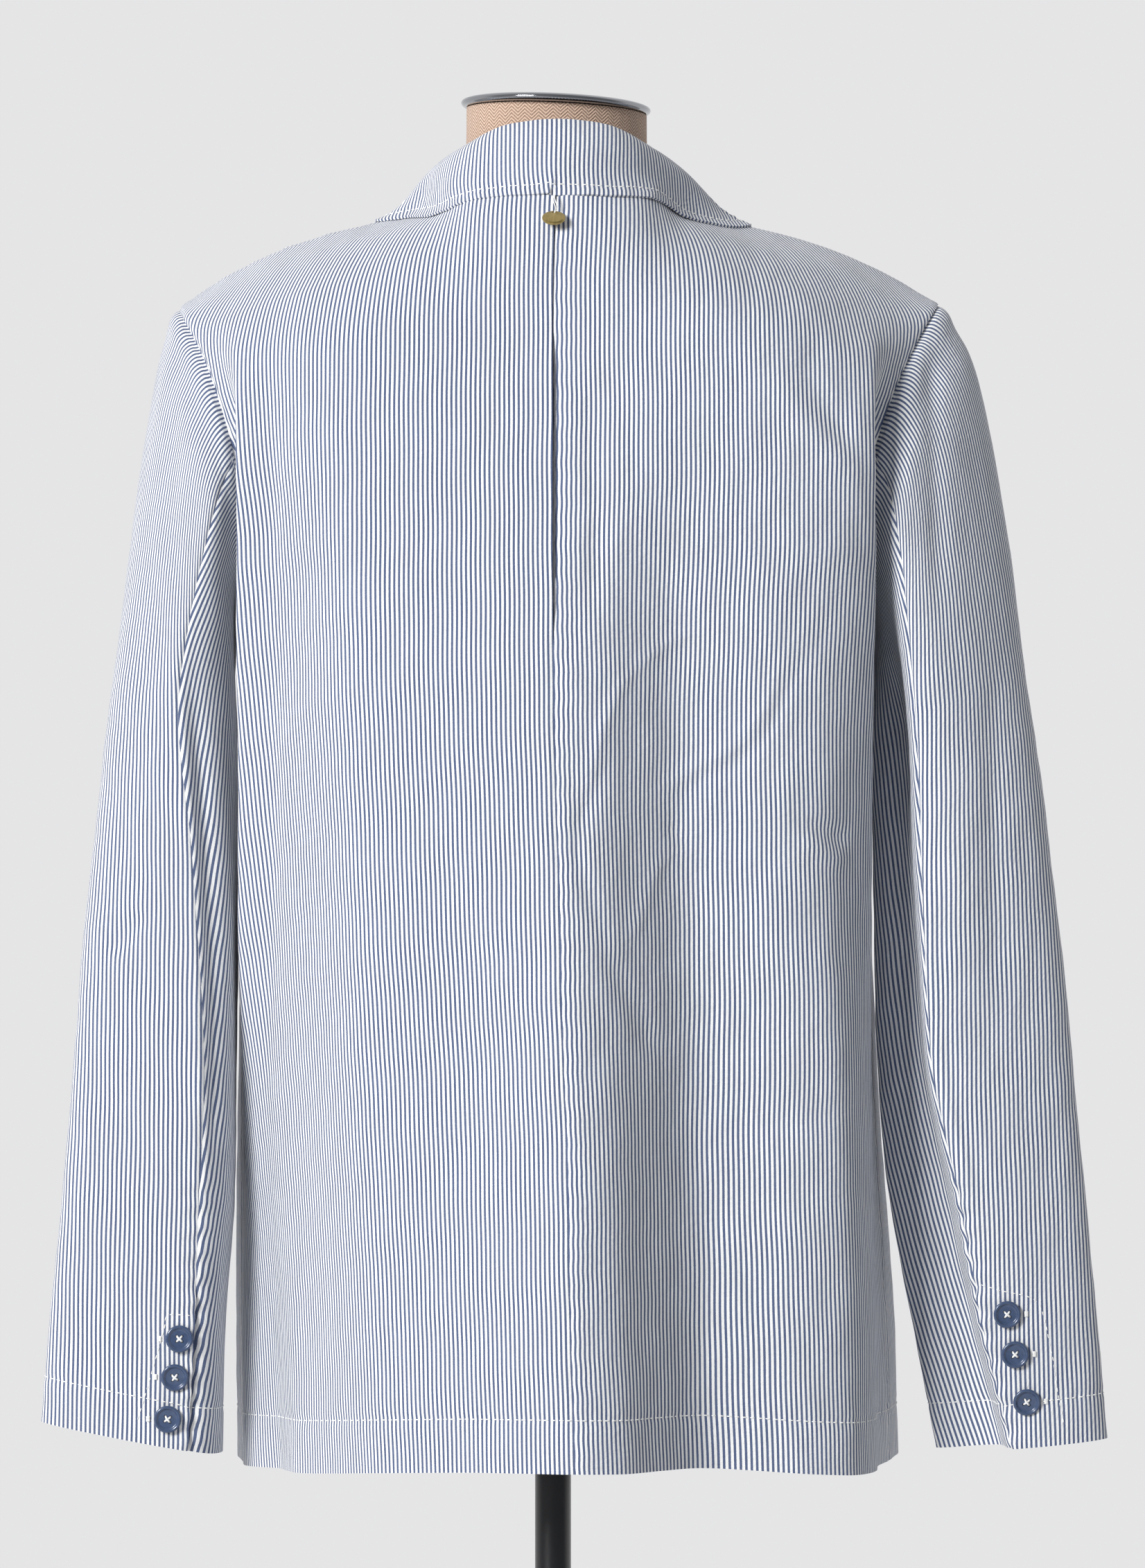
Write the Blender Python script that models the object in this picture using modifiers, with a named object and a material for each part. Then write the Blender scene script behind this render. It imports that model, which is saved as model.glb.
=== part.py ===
"""A striped summer blazer worn by a limbless dress form on a pole stand.

Units are metres and +Z is up. The origin is on the floor at the middle of the
stand's base. The blazer's back faces -Y, so its left side, seen from behind, is -X.

Each cloth panel is a grid of points, worked out from a short table with one row
for each level of the garment. A panel's outer face is its grid, and its inner
face is the same grid moved in by the cloth's thickness.
"""

import math

import bmesh
import bpy
import numpy as np
from mathutils import Matrix, Vector
from mathutils.bvhtree import BVHTree

CLOTH = 0.0018          # wall of the seersucker shell
SEAM_GAP = 0.0007       # between two panels at a seam
LAYER_GAP = 0.0006      # between a piece and the panel that it lies on
STEPS = 3               # grid steps between two named points of the armhole
LOW_STEPS = 13          # grid steps from the hem up to the underarm
SLEEVE_STEPS = 15       # grid steps from the armhole down to the cuff

STRIPED_CLOTH = ("striped_cloth", (0.66, 0.70, 0.78), 0.85, 0.0)
BUTTON_BLUE = ("button_blue", (0.09, 0.15, 0.27), 0.38, 0.0)
BRASS = ("brass", (0.62, 0.50, 0.24), 0.28, 1.0)
LINEN = ("form_linen", (0.55, 0.40, 0.30), 0.90, 0.0)
CHROME = ("chrome", (0.75, 0.76, 0.78), 0.10, 1.0)
BLACK_METAL = ("black_metal", (0.012, 0.014, 0.018), 0.32, 0.0)

# The body of the blazer. A row is one level from the hem up to the shoulder. Each
# row has its height at the middle and at the side, then points (x, y) outwards
# from the centre back seam: centre, blade, flat, turn, shelf, edge, tuck, side.
# The cloth folds at "edge", and the tuck behind it leads to the side seam, or to
# the armhole in the rows above the underarm.
BACK_LEFT = (
    (0.634, 0.622, (0.012, -0.150), (-0.042, -0.131), (-0.100, -0.100), (-0.138, -0.070),
     (-0.150, -0.038), (-0.163, -0.020), (-0.171, -0.004), (-0.173, 0.012)),
    (0.700, 0.702, (0.010, -0.146), (-0.045, -0.127), (-0.104, -0.097), (-0.140, -0.064),
     (-0.153, -0.036), (-0.166, -0.014), (-0.172, 0.000), (-0.174, 0.012)),
    (0.790, 0.790, (0.008, -0.139), (-0.046, -0.121), (-0.108, -0.095), (-0.142, -0.064),
     (-0.156, -0.040), (-0.170, -0.014), (-0.171, 0.002), (-0.174, 0.012)),
    (0.880, 0.880, (0.005, -0.129), (-0.046, -0.114), (-0.104, -0.098), (-0.139, -0.070),
     (-0.154, -0.050), (-0.172, -0.034), (-0.168, -0.014), (-0.173, 0.008)),
    (0.960, 0.960, (0.003, -0.121), (-0.052, -0.112), (-0.102, -0.099), (-0.134, -0.076),
     (-0.150, -0.059), (-0.172, -0.048), (-0.165, -0.026), (-0.172, 0.003)),
    (1.040, 1.040, (0.001, -0.114), (-0.058, -0.109), (-0.104, -0.100), (-0.132, -0.083),
     (-0.148, -0.067), (-0.172, -0.058), (-0.164, -0.036), (-0.171, 0.002)),
    (1.110, 1.110, (0.000, -0.109), (-0.060, -0.107), (-0.107, -0.100), (-0.132, -0.084),
     (-0.148, -0.071), (-0.172, -0.065), (-0.164, -0.042), (-0.170, 0.006)),
    (1.150, 1.134, (0.000, -0.106), (-0.060, -0.106), (-0.110, -0.100), (-0.134, -0.087),
     (-0.149, -0.074), (-0.172, -0.069), (-0.163, -0.052), (-0.168, -0.034)),
    (1.200, 1.180, (0.000, -0.101), (-0.060, -0.102), (-0.112, -0.098), (-0.137, -0.090),
     (-0.152, -0.080), (-0.172, -0.075), (-0.165, -0.064), (-0.174, -0.057)),
    (1.262, 1.228, (0.000, -0.094), (-0.062, -0.093), (-0.108, -0.090), (-0.136, -0.084),
     (-0.155, -0.076), (-0.172, -0.069), (-0.180, -0.058), (-0.190, -0.046)),
    (1.306, 1.250, (0.001, -0.083), (-0.066, -0.067), (-0.104, -0.057), (-0.132, -0.051),
     (-0.154, -0.045), (-0.173, -0.039), (-0.187, -0.033), (-0.200, -0.027)),
)
BACK_RIGHT = (
    (0.634, 0.623, (0.012, -0.150), (0.040, -0.140), (0.082, -0.094), (0.132, -0.090),
     (0.163, -0.078), (0.177, -0.048), (0.180, -0.020), (0.187, 0.010)),
    (0.700, 0.702, (0.010, -0.146), (0.036, -0.137), (0.080, -0.093), (0.130, -0.089),
     (0.162, -0.077), (0.176, -0.046), (0.178, -0.020), (0.185, 0.010)),
    (0.790, 0.790, (0.008, -0.139), (0.033, -0.131), (0.077, -0.091), (0.126, -0.088),
     (0.159, -0.078), (0.175, -0.042), (0.175, -0.019), (0.180, 0.008)),
    (0.880, 0.880, (0.005, -0.129), (0.030, -0.122), (0.074, -0.091), (0.122, -0.088),
     (0.154, -0.080), (0.175, -0.040), (0.172, -0.020), (0.176, 0.006)),
    (0.960, 0.960, (0.003, -0.121), (0.028, -0.115), (0.070, -0.090), (0.118, -0.088),
     (0.149, -0.080), (0.175, -0.046), (0.169, -0.024), (0.174, 0.003)),
    (1.040, 1.040, (0.001, -0.114), (0.030, -0.110), (0.066, -0.092), (0.114, -0.090),
     (0.149, -0.083), (0.175, -0.058), (0.166, -0.034), (0.172, 0.002)),
    (1.110, 1.110, (0.000, -0.109), (0.034, -0.105), (0.066, -0.096), (0.114, -0.095),
     (0.150, -0.088), (0.175, -0.070), (0.166, -0.044), (0.170, 0.006)),
    (1.150, 1.134, (0.000, -0.106), (0.040, -0.104), (0.072, -0.099), (0.118, -0.097),
     (0.152, -0.091), (0.175, -0.076), (0.165, -0.054), (0.169, -0.034)),
    (1.200, 1.180, (0.000, -0.101), (0.052, -0.101), (0.090, -0.099), (0.128, -0.096),
     (0.156, -0.090), (0.175, -0.081), (0.167, -0.066), (0.175, -0.057)),
    (1.262, 1.228, (0.000, -0.094), (0.062, -0.093), (0.108, -0.091), (0.138, -0.086),
     (0.159, -0.079), (0.175, -0.072), (0.183, -0.060), (0.193, -0.046)),
    (1.306, 1.250, (0.001, -0.083), (0.070, -0.067), (0.108, -0.057), (0.136, -0.051),
     (0.158, -0.045), (0.176, -0.039), (0.190, -0.033), (0.203, -0.027)),
)
# The shoulder seam, from the neck out to the tip: (x, y, z).
SHOULDER_LEFT = ((-0.070, -0.002, 1.3215), (-0.100, -0.001, 1.3120), (-0.129, 0.000, 1.3045),
                 (-0.152, 0.000, 1.2968), (-0.172, 0.001, 1.2880), (-0.191, 0.002, 1.2775),
                 (-0.209, 0.002, 1.2640))
SHOULDER_RIGHT = ((0.074, -0.002, 1.3215), (0.104, -0.001, 1.3120), (0.133, 0.000, 1.3045),
                  (0.157, 0.000, 1.2965), (0.177, 0.001, 1.2880), (0.196, 0.002, 1.2785),
                  (0.2145, 0.002, 1.2670))
# The armhole, a closed ring from the shoulder tip down the back, under the arm
# and up the front: (x, y, z). The underarm is its fifth point, number 4.
ARMHOLE_LEFT = ((-0.209, 0.002, 1.264), (-0.190, -0.046, 1.228), (-0.174, -0.057, 1.180),
                (-0.168, -0.034, 1.134), (-0.170, 0.006, 1.110), (-0.167, 0.042, 1.140),
                (-0.180, 0.044, 1.205))
ARMHOLE_RIGHT = ((0.2145, 0.002, 1.267), (0.193, -0.046, 1.228), (0.175, -0.057, 1.180),
                 (0.169, -0.034, 1.134), (0.170, 0.006, 1.110), (0.168, 0.042, 1.140),
                 (0.183, 0.044, 1.205))
UNDERARM = 4
RING = len(ARMHOLE_LEFT)
# Where on that ring each row of the tables above the underarm meets the armhole.
BACK_ON_RING = (4, 3, 2, 1, 0.45, 0)
FRONT_ON_RING = (4, 5, 6, 6.55, 7)

# The fronts. A row has its height at the side and at the front edge, then points
# (x, y): flank, bust, chest and front edge. The side comes from the back's edge.
FRONT_LEFT = (
    (0.622, 0.630, (-0.176, 0.046), (-0.130, 0.116), (-0.062, 0.136), (0.018, 0.1385)),
    (0.702, 0.702, (-0.177, 0.047), (-0.130, 0.117), (-0.062, 0.136), (0.018, 0.1380)),
    (0.790, 0.790, (-0.176, 0.048), (-0.130, 0.118), (-0.062, 0.135), (0.018, 0.1370)),
    (0.880, 0.880, (-0.175, 0.048), (-0.129, 0.119), (-0.062, 0.135), (0.018, 0.1365)),
    (0.960, 0.960, (-0.174, 0.050), (-0.128, 0.121), (-0.062, 0.136), (0.016, 0.1360)),
    (1.040, 1.040, (-0.171, 0.053), (-0.125, 0.123), (-0.062, 0.136), (0.003, 0.1345)),
    (1.110, 1.110, (-0.166, 0.050), (-0.121, 0.112), (-0.066, 0.126), (-0.014, 0.1270)),
    (1.140, 1.176, (-0.149, 0.072), (-0.115, 0.094), (-0.073, 0.106), (-0.032, 0.1100)),
    (1.205, 1.240, (-0.160, 0.060), (-0.126, 0.072), (-0.088, 0.079), (-0.048, 0.0780)),
    (1.245, 1.288, (-0.172, 0.036), (-0.141, 0.043), (-0.102, 0.045), (-0.061, 0.0400)),
)
FRONT_RIGHT = (
    (0.623, 0.628, (0.193, 0.056), (0.138, 0.120), (0.062, 0.140), (-0.018, 0.1420)),
    (0.702, 0.702, (0.190, 0.055), (0.136, 0.120), (0.062, 0.139), (-0.018, 0.1415)),
    (0.790, 0.790, (0.184, 0.052), (0.133, 0.120), (0.062, 0.138), (-0.018, 0.1405)),
    (0.880, 0.880, (0.178, 0.050), (0.130, 0.120), (0.062, 0.137), (-0.018, 0.1400)),
    (0.960, 0.960, (0.176, 0.050), (0.128, 0.121), (0.062, 0.137), (-0.016, 0.1395)),
    (1.040, 1.040, (0.172, 0.053), (0.125, 0.123), (0.062, 0.137), (-0.002, 0.1375)),
    (1.110, 1.110, (0.166, 0.050), (0.121, 0.112), (0.066, 0.127), (0.016, 0.1285)),
    (1.140, 1.176, (0.150, 0.072), (0.116, 0.094), (0.074, 0.106), (0.034, 0.1100)),
    (1.205, 1.240, (0.163, 0.060), (0.129, 0.072), (0.091, 0.079), (0.051, 0.0780)),
    (1.245, 1.288, (0.175, 0.036), (0.145, 0.043), (0.106, 0.045), (0.065, 0.0400)),
)

# The sleeves. A row has its height at the outer fold and at the inner side, then
# points (x, y) round the sleeve: outer fold, back, crease, inner side, front.
# The crease is the back seam, which ends in the cuff's button vent.
SLEEVE_LEFT = (
    (1.060, 1.030, (-0.242, 0.000), (-0.230, -0.048), (-0.204, -0.062), (-0.1755, 0.008), (-0.189, 0.054)),
    (0.990, 0.970, (-0.2495, -0.004), (-0.235, -0.051), (-0.198, -0.062), (-0.1755, 0.006), (-0.196, 0.056)),
    (0.920, 0.905, (-0.2565, -0.010), (-0.237, -0.053), (-0.193, -0.060), (-0.1760, 0.004), (-0.203, 0.050)),
    (0.850, 0.838, (-0.2620, -0.016), (-0.240, -0.053), (-0.190, -0.058), (-0.1770, 0.002), (-0.207, 0.043)),
    (0.780, 0.770, (-0.2678, -0.021), (-0.243, -0.053), (-0.193, -0.055), (-0.1785, 0.000), (-0.212, 0.036)),
    (0.716, 0.704, (-0.2745, -0.025), (-0.246, -0.052), (-0.196, -0.052), (-0.1835, -0.002), (-0.217, 0.030)),
    (0.650, 0.632, (-0.2808, -0.028), (-0.249, -0.050), (-0.200, -0.048), (-0.1850, -0.004), (-0.222, 0.025)),
)
SLEEVE_RIGHT = (
    (1.060, 1.030, (0.2610, 0.000), (0.240, -0.048), (0.197, -0.062), (0.1770, 0.008), (0.191, 0.054)),
    (0.990, 0.970, (0.2700, -0.004), (0.247, -0.051), (0.200, -0.062), (0.1775, 0.006), (0.202, 0.056)),
    (0.920, 0.905, (0.2777, -0.010), (0.251, -0.053), (0.203, -0.060), (0.1785, 0.004), (0.211, 0.050)),
    (0.850, 0.838, (0.2848, -0.016), (0.256, -0.053), (0.208, -0.057), (0.1810, 0.002), (0.217, 0.043)),
    (0.780, 0.770, (0.2915, -0.021), (0.262, -0.053), (0.222, -0.054), (0.1870, 0.000), (0.226, 0.036)),
    (0.716, 0.704, (0.2972, -0.025), (0.269, -0.052), (0.234, -0.051), (0.1995, -0.002), (0.236, 0.030)),
    (0.641, 0.632, (0.3040, -0.028), (0.278, -0.049), (0.252, -0.046), (0.2130, -0.004), (0.248, 0.025)),
)
# The sleeve head: how far the first row below the armhole stands off it, for each
# point of the ring: (out in x, in y, down in z).
HEAD_LEFT = ((0.0095, -0.002, 0.034), (0.0135, -0.007, 0.032), (0.0100, -0.008, 0.030),
             (0.0070, -0.004, 0.018), (0.0080, 0.000, 0.016), (0.0080, 0.008, 0.024),
             (0.0150, 0.011, 0.034))
HEAD_RIGHT = ((0.0175, -0.002, 0.034), (0.0190, -0.007, 0.032), (0.0110, -0.008, 0.030),
              (0.0070, -0.004, 0.018), (0.0080, 0.000, 0.016), (0.0080, 0.008, 0.024),
              (0.0200, 0.011, 0.034))
BACK_SEAM = 2           # the ring's point where the sleeve's back seam starts
FRONT_SEAM = 5          # and where its front seam starts

# The collar, in sections from the centre back round to its tip in front. The seam at
# the neckline and the fold at the top are mirrored about the neck's middle. The outer
# edge hangs lower on the right, so it has a table for each side: all (x, y, z).
NECK_X = 0.002
COLLAR_SEAM = ((0.000, -0.0650, 1.3365), (0.036, -0.0565, 1.3355), (0.056, -0.0390, 1.3330),
               (0.0665, -0.0150, 1.3290), (0.0690, 0.0030, 1.3235), (0.0670, 0.0215, 1.3080),
               (0.0580, 0.0565, 1.2730))
COLLAR_FOLD = ((0.000, -0.0610, 1.3625), (0.028, -0.0560, 1.3598), (0.045, -0.0400, 1.3535),
               (0.0555, -0.0150, 1.3485), (0.0590, 0.0060, 1.3385), (0.0590, 0.0270, 1.3180),
               (0.0540, 0.0600, 1.2810))
COLLAR_EDGE_LEFT = ((-0.0300, -0.0720, 1.3183), (-0.0588, -0.0605, 1.3142), (-0.0770, -0.0270, 1.3128),
                    (-0.0885, -0.0040, 1.3150), (-0.0915, 0.0190, 1.3050), (-0.0890, 0.0615, 1.2660))
COLLAR_EDGE_RIGHT = ((0.0357, -0.0705, 1.3172), (0.0640, -0.0545, 1.3105), (0.0960, -0.0240, 1.3068),
                     (0.1085, -0.0030, 1.3095), (0.1090, 0.0200, 1.3000), (0.0990, 0.0630, 1.2635))
COLLAR_EDGE_MIDDLE = (0.0026, -0.0785, 1.3220)
COLLAR_BULGE = 0.0028   # how far the fall bows out between its fold and its edge
COLLAR_ROLL = 0.0036    # half the width of the roll at the fold
COLLAR_GAP = 0.0034     # between the collar's fall and the body
COLLAR_STEPS = 2        # grid steps between two named sections of the collar

# A lapel, on the right front: (x, z) of its roll line and of its outer edge.
LAPEL_ROLL = ((-0.003, 0.997), (0.0135, 1.070), (0.0345, 1.155), (0.0545, 1.225), (0.0640, 1.255))
LAPEL_EDGE = ((0.004, 0.992), (0.044, 1.060), (0.080, 1.140), (0.106, 1.215), (0.0840, 1.248))
LAPEL_ROWS = 12
LAPEL_COLUMNS = 5
LAPEL_GAP = 0.0014      # off the front, which curves between the lapel's own points
LAPEL_BULGE = 0.0030
LAPEL_START_LEFT = 0.75 # the left lapel comes out from under the right front's edge

# Buttons: (x, z) of each centre.
SLEEVE_BUTTON = 0.015
SLEEVE_BUTTONS_LEFT = ((-0.2040, 0.697), (-0.2065, 0.676), (-0.2105, 0.653))
SLEEVE_BUTTONS_RIGHT = ((0.2480, 0.7105), (0.2525, 0.6885), (0.2590, 0.6625))
FRONT_BUTTON = 0.020
FRONT_BUTTONS = ((0.000, 0.965), (0.000, 0.860))
BUTTON_THICK = 0.0028
BUTTON_SIDES = 20

# The small metal disc sewn on the centre back seam under the collar.
DISC_PLACE = (0.0007, -0.0868, 1.3062)
DISC_DIAMETER = 0.0126
DISC_THICK = 0.0018
DISC_TILT = 52          # degrees from upright: it lies on its loop of thread

# The dress form. A row has its height, half width, back, front and roundness, from
# 1 for a diamond through 2 for an ellipse to 3 for a rounded box. From the shoulders
# up, a section is no smaller than the neck's, which has the same four values.
FORM_ROWS = (
    (0.690, 0.138, -0.076, 0.086, 2.1), (0.700, 0.147, -0.083, 0.093, 2.1),
    (0.760, 0.154, -0.086, 0.098, 2.1), (0.820, 0.147, -0.082, 0.092, 2.1),
    (0.900, 0.124, -0.074, 0.086, 2.1), (0.960, 0.128, -0.075, 0.098, 2.1),
    (1.040, 0.142, -0.079, 0.112, 2.1), (1.100, 0.148, -0.084, 0.102, 2.1),
    (1.150, 0.148, -0.086, 0.082, 2.1), (1.200, 0.148, -0.083, 0.060, 2.1),
    (1.235, 0.152, -0.074, 0.046, 2.0), (1.262, 0.156, -0.066, 0.036, 1.9),
    (1.282, 0.157, -0.047, 0.024, 1.8), (1.2918, 0.146, -0.040, 0.018, 1.7),
    (1.3008, 0.127, -0.034, 0.013, 1.7), (1.3080, 0.099, -0.030, 0.010, 1.7),
    (1.3140, 0.074, -0.034, 0.014, 1.8), (1.322, 0.0590, -0.044, 0.034, 2.0),
    (1.334, 0.0530, -0.047, 0.042, 2.0), (1.350, 0.0505, -0.048, 0.044, 2.0),
    (1.3732, 0.0495, -0.048, 0.045, 2.0),
)
FORM_NECK = (0.0500, -0.046, 0.042, 2.0)
FORM_NECK_FROM = 1.270
FORM_SIDES = 28
NECK_TILT = 2.5         # degrees that the neck's top leans to the right
CAP_RADIUS = 0.0528
CAP_THICK = 0.0045
POLE_RADIUS = 0.010
FLANGE_RADIUS = 0.034
FLANGE_THICK = 0.004
BASE_RADIUS = 0.170
BASE_THICK = 0.010
BOSS_RADIUS = 0.022
BOSS_HEIGHT = 0.040
FIT_GAP = 0.00035


def through(points, places):
    """The smooth curve through the points, at places that count them from 0."""
    points = np.asarray(points, float)
    step = np.maximum(np.linalg.norm(np.diff(points, axis=0), axis=1), 1e-5) ** 0.5
    chord = np.diff(points, axis=0) / step[:, None]
    total = (step[:-1] + step[1:])[:, None]
    inner = (chord[:-1] * step[1:, None] + chord[1:] * step[:-1, None]) / total
    slope = np.concatenate([chord[:1], inner, chord[-1:]])
    places = np.asarray(places, float)
    k = np.clip(places.astype(int), 0, len(points) - 2)
    f = (places - k)[:, None]
    h = step[k][:, None]
    return ((2 * f**3 - 3 * f**2 + 1) * points[k] + (f**3 - 2 * f**2 + f) * h * slope[k]
            + (3 * f**2 - 2 * f**3) * points[k + 1] + (f**3 - f**2) * h * slope[k + 1])


def round_through(points, places):
    """The same for a closed ring of points."""
    points = list(points)
    return through(points[-3:] + points + points[:4], np.asarray(places, float) + 3)


def surface(rows, row_places, column_places):
    """A grid on the smooth surface through rows of points, each a level's named points."""
    across = np.array([through(row, column_places) for row in rows])
    return np.stack([through(across[:, c], row_places) for c in range(across.shape[1])], axis=1)


def pull(grid, edge, reach):
    """Moves the grid's first row onto the edge, and the next rows by less and less."""
    change = edge - grid[0]
    for k in range(min(reach, len(grid))):
        grid[k] += change * (1 - k / reach) ** 2


def level(row, side):
    """A table row's named points as (x, y, z), with the height sloping to the side."""
    middle_z, side_z, *points = row
    reach = abs(points[-1][0])
    return [(x, y, middle_z + (side_z - middle_z) * min(1.0, abs(x) / reach) ** 1.5)
            for x, y in points][::side]


def armhole_edge(ring, places):
    return round_through(ring, places)


def even_steps(named_points, steps):
    """Places that divide each stretch between named points into even steps."""
    return np.linspace(0, named_points - 1, (named_points - 1) * steps + 1)


def row_places(on_ring, low_rows):
    """Places of a panel's rows: even below the underarm, on the armhole's steps above it."""
    low = np.linspace(0, low_rows, LOW_STEPS + 1)
    count = int(round(abs(on_ring[-1] - on_ring[0]) * STEPS))
    ring = np.linspace(on_ring[0], on_ring[-1], count + 1)
    order = np.argsort(on_ring)
    high = low_rows + np.interp(ring, np.array(on_ring, float)[order], np.arange(len(on_ring))[order])
    return np.concatenate([low, high[1:]]), ring


def neckline(steps):
    """The back neckline from the left neck point to the right: a quarter ellipse a side."""
    middle = np.array([0.002, -0.067, 1.3325])
    points = []
    for end, turn in ((SHOULDER_LEFT[0], np.linspace(1, 0, steps + 1)),
                      (SHOULDER_RIGHT[0], np.linspace(0, 1, steps + 1)[1:])):
        for t in turn:
            a = t * math.pi / 2
            x = middle[0] + (end[0] - middle[0]) * math.sin(a)
            y = end[1] + (middle[1] - end[1]) * math.cos(a)
            points.append((x, y, middle[2] + (end[2] - middle[2]) * t**2))
    return np.array(points)


def back_grids():
    """The back, from the left side seam to the right, cut at the centre back seam."""
    rows = []
    for left, right in zip(BACK_LEFT, BACK_RIGHT):
        rows.append(level(left, -1) + level(right, 1)[1:])
    tips = [list(SHOULDER_LEFT[::-1]), list(SHOULDER_RIGHT)]
    rows.append(tips[0] + [(0.002, -0.067, 1.3325)] + tips[1])
    low_rows = len(BACK_LEFT) - len(BACK_ON_RING) + 1
    places, ring = row_places(BACK_ON_RING, low_rows)
    columns = even_steps(len(rows[0]), 2)
    grid = surface(rows, places, columns)

    seam_places = even_steps(len(SHOULDER_LEFT), 2)
    top = np.concatenate([through(SHOULDER_LEFT, seam_places)[::-1], neckline(2)[1:-1],
                          through(SHOULDER_RIGHT, seam_places)])
    pull(grid[::-1], top, 3)
    for edge, armhole in ((0, ARMHOLE_LEFT), (-1, ARMHOLE_RIGHT)):
        column = grid[:, edge].copy()
        column[LOW_STEPS:] = armhole_edge(armhole, ring)
        pull(grid.transpose(1, 0, 2)[::-1 if edge else 1], column, 4)
    middle = grid.shape[1] // 2
    return grid[:, :middle + 1], grid[:, middle:]


def front_grid(table, side_column, armhole, shoulder):
    """A front, from the side seam to the front edge and from the hem to the shoulder."""
    low_rows = len(table) - len(FRONT_ON_RING) + 1
    places, ring = row_places(FRONT_ON_RING, low_rows)
    ring_points = armhole_edge(armhole, ring)
    side = np.concatenate([side_column[:LOW_STEPS], ring_points])
    at_table = np.stack([np.interp(range(len(table)), places, side[:, k]) for k in range(3)], axis=1)
    rows = []
    for (side_z, edge_z, *points), start in zip(table, at_table):
        count = len(points)
        rows.append([tuple(start)] + [
            (x, y, side_z + (edge_z - side_z) * (k + 1) / count) for k, (x, y) in enumerate(points)])
    seam = through(shoulder, even_steps(len(shoulder), 2))[::-1]
    rows.append([tuple(p) for p in seam[:: (len(seam) - 1) // 4]])
    columns = np.linspace(0, len(rows[0]) - 1, len(seam))
    grid = surface(rows, places, columns)
    pull(grid.transpose(1, 0, 2), side, 4)
    pull(grid[::-1], seam, 4)
    return grid


def sleeve_ring(row):
    """The seven points of a sleeve's level, with two worked out from the five named ones."""
    outer_z, inner_z, outer, back, crease, inner, front = row
    turn = (0.25 * crease[0] + 0.75 * inner[0], 0.62 * crease[1] + 0.38 * inner[1])
    chest = (0.45 * front[0] + 0.55 * outer[0], 0.94 * front[1] + 0.06 * outer[1])
    points = [outer, back, crease, turn, inner, front, chest]
    span = inner[0] - outer[0]
    return [(x, y, outer_z + (inner_z - outer_z) * (x - outer[0]) / span) for x, y in points]


def sleeve_grid(table, armhole, head_shape):
    """A whole sleeve as a closed grid: rows from the armhole to the cuff."""
    side = math.copysign(1, armhole[0][0])
    head = [(x + side * out, y + back, z - down)
            for (x, y, z), (out, back, down) in zip(armhole, head_shape)]
    rings = [list(armhole), head] + [sleeve_ring(row) for row in table]
    around = np.arange(RING * STEPS + 1) / STEPS
    across = np.array([round_through(ring, around) for ring in rings])
    places = np.concatenate([np.linspace(0, 1, 3), np.linspace(1, len(rings) - 1, SLEEVE_STEPS)[1:]])
    return np.stack([through(across[:, c], places) for c in range(across.shape[1])], axis=1)


def grid_normals(grid):
    """Unit normals at the grid's points, all to one side."""
    down, right = np.gradient(grid, axis=0), np.gradient(grid, axis=1)
    normal = np.cross(right, down)
    return normal / np.maximum(np.linalg.norm(normal, axis=2, keepdims=True), 1e-12)


def outward(grid, centre):
    """The grid's normals, turned away from the vertical line through the centre."""
    normal = grid_normals(grid)
    away = (grid - np.array([*centre, 0])) * (1, 1, 0)
    return normal if (normal * away).sum() > 0 else -normal


def mitres(panels, normals):
    """How far to move each point in for a wall of thickness 1. Where panels meet, they
    share one direction, so that their rims stay side by side at any angle of the seam.
    The body counts once and each sleeve once, however many of their panels meet."""
    meeting = {}
    for name, grid in panels.items():
        tube = name if "sleeve" not in name else name.split("_")[-1]
        for p, n in zip(grid.reshape(-1, 3), normals[name].reshape(-1, 3)):
            found = meeting.setdefault(tuple(np.round(p, 6)), {})
            found.setdefault(tube if tube in ("left", "right") else "body", []).append(n)
    shared = {}
    for name, grid in panels.items():
        moves = normals[name].copy()
        for i, j in np.ndindex(grid.shape[:2]):
            found = meeting[tuple(np.round(grid[i, j], 6))]
            if sum(map(len, found.values())) > 1:
                each = [np.sum(group, axis=0) for group in found.values()]
                each = [n / np.linalg.norm(n) for n in each]
                middle = np.sum(each, axis=0)
                middle /= max(np.linalg.norm(middle), 1e-6)
                moves[i, j] = middle / max(0.45, min(middle @ n for n in each))
        shared[name] = moves
    return shared


def trim(grid, moves, seams):
    """Draws the edges named in seams back into the panel by half the gap of a seam."""
    grid = grid.copy()
    views = {"bottom": (grid, moves), "top": (grid[::-1], moves[::-1]),
             "first": (grid.transpose(1, 0, 2), moves.transpose(1, 0, 2)),
             "last": (grid.transpose(1, 0, 2)[::-1], moves.transpose(1, 0, 2)[::-1])}
    for seam in seams:
        points, inward = views[seam]
        along = np.gradient(points[0], axis=0)
        plane = np.cross(along, inward[0])
        plane /= np.maximum(np.linalg.norm(plane, axis=1, keepdims=True), 1e-12)
        toward = np.sign(((points[1] - points[0]) * plane).sum(axis=1, keepdims=True))
        points[0] += plane * toward * SEAM_GAP / 2
    return grid


def finish(name, mesh, finish_values, smooth=True):
    """An object with its material, shaded smooth but for its sharp edges."""
    slot, colour, roughness, metallic = finish_values
    material = bpy.data.materials.get(slot) or bpy.data.materials.new(slot)
    material.use_nodes = True
    shader = material.node_tree.nodes["Principled BSDF"]
    shader.inputs["Base Color"].default_value = (*colour, 1)
    shader.inputs["Roughness"].default_value = roughness
    shader.inputs["Metallic"].default_value = metallic
    mesh.materials.append(material)
    if smooth:
        mesh.shade_smooth()
        mesh.set_sharp_from_angle(angle=math.radians(40))
    thing = bpy.data.objects.new(name, mesh)
    PARTS.objects.link(thing)
    return thing


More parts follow.
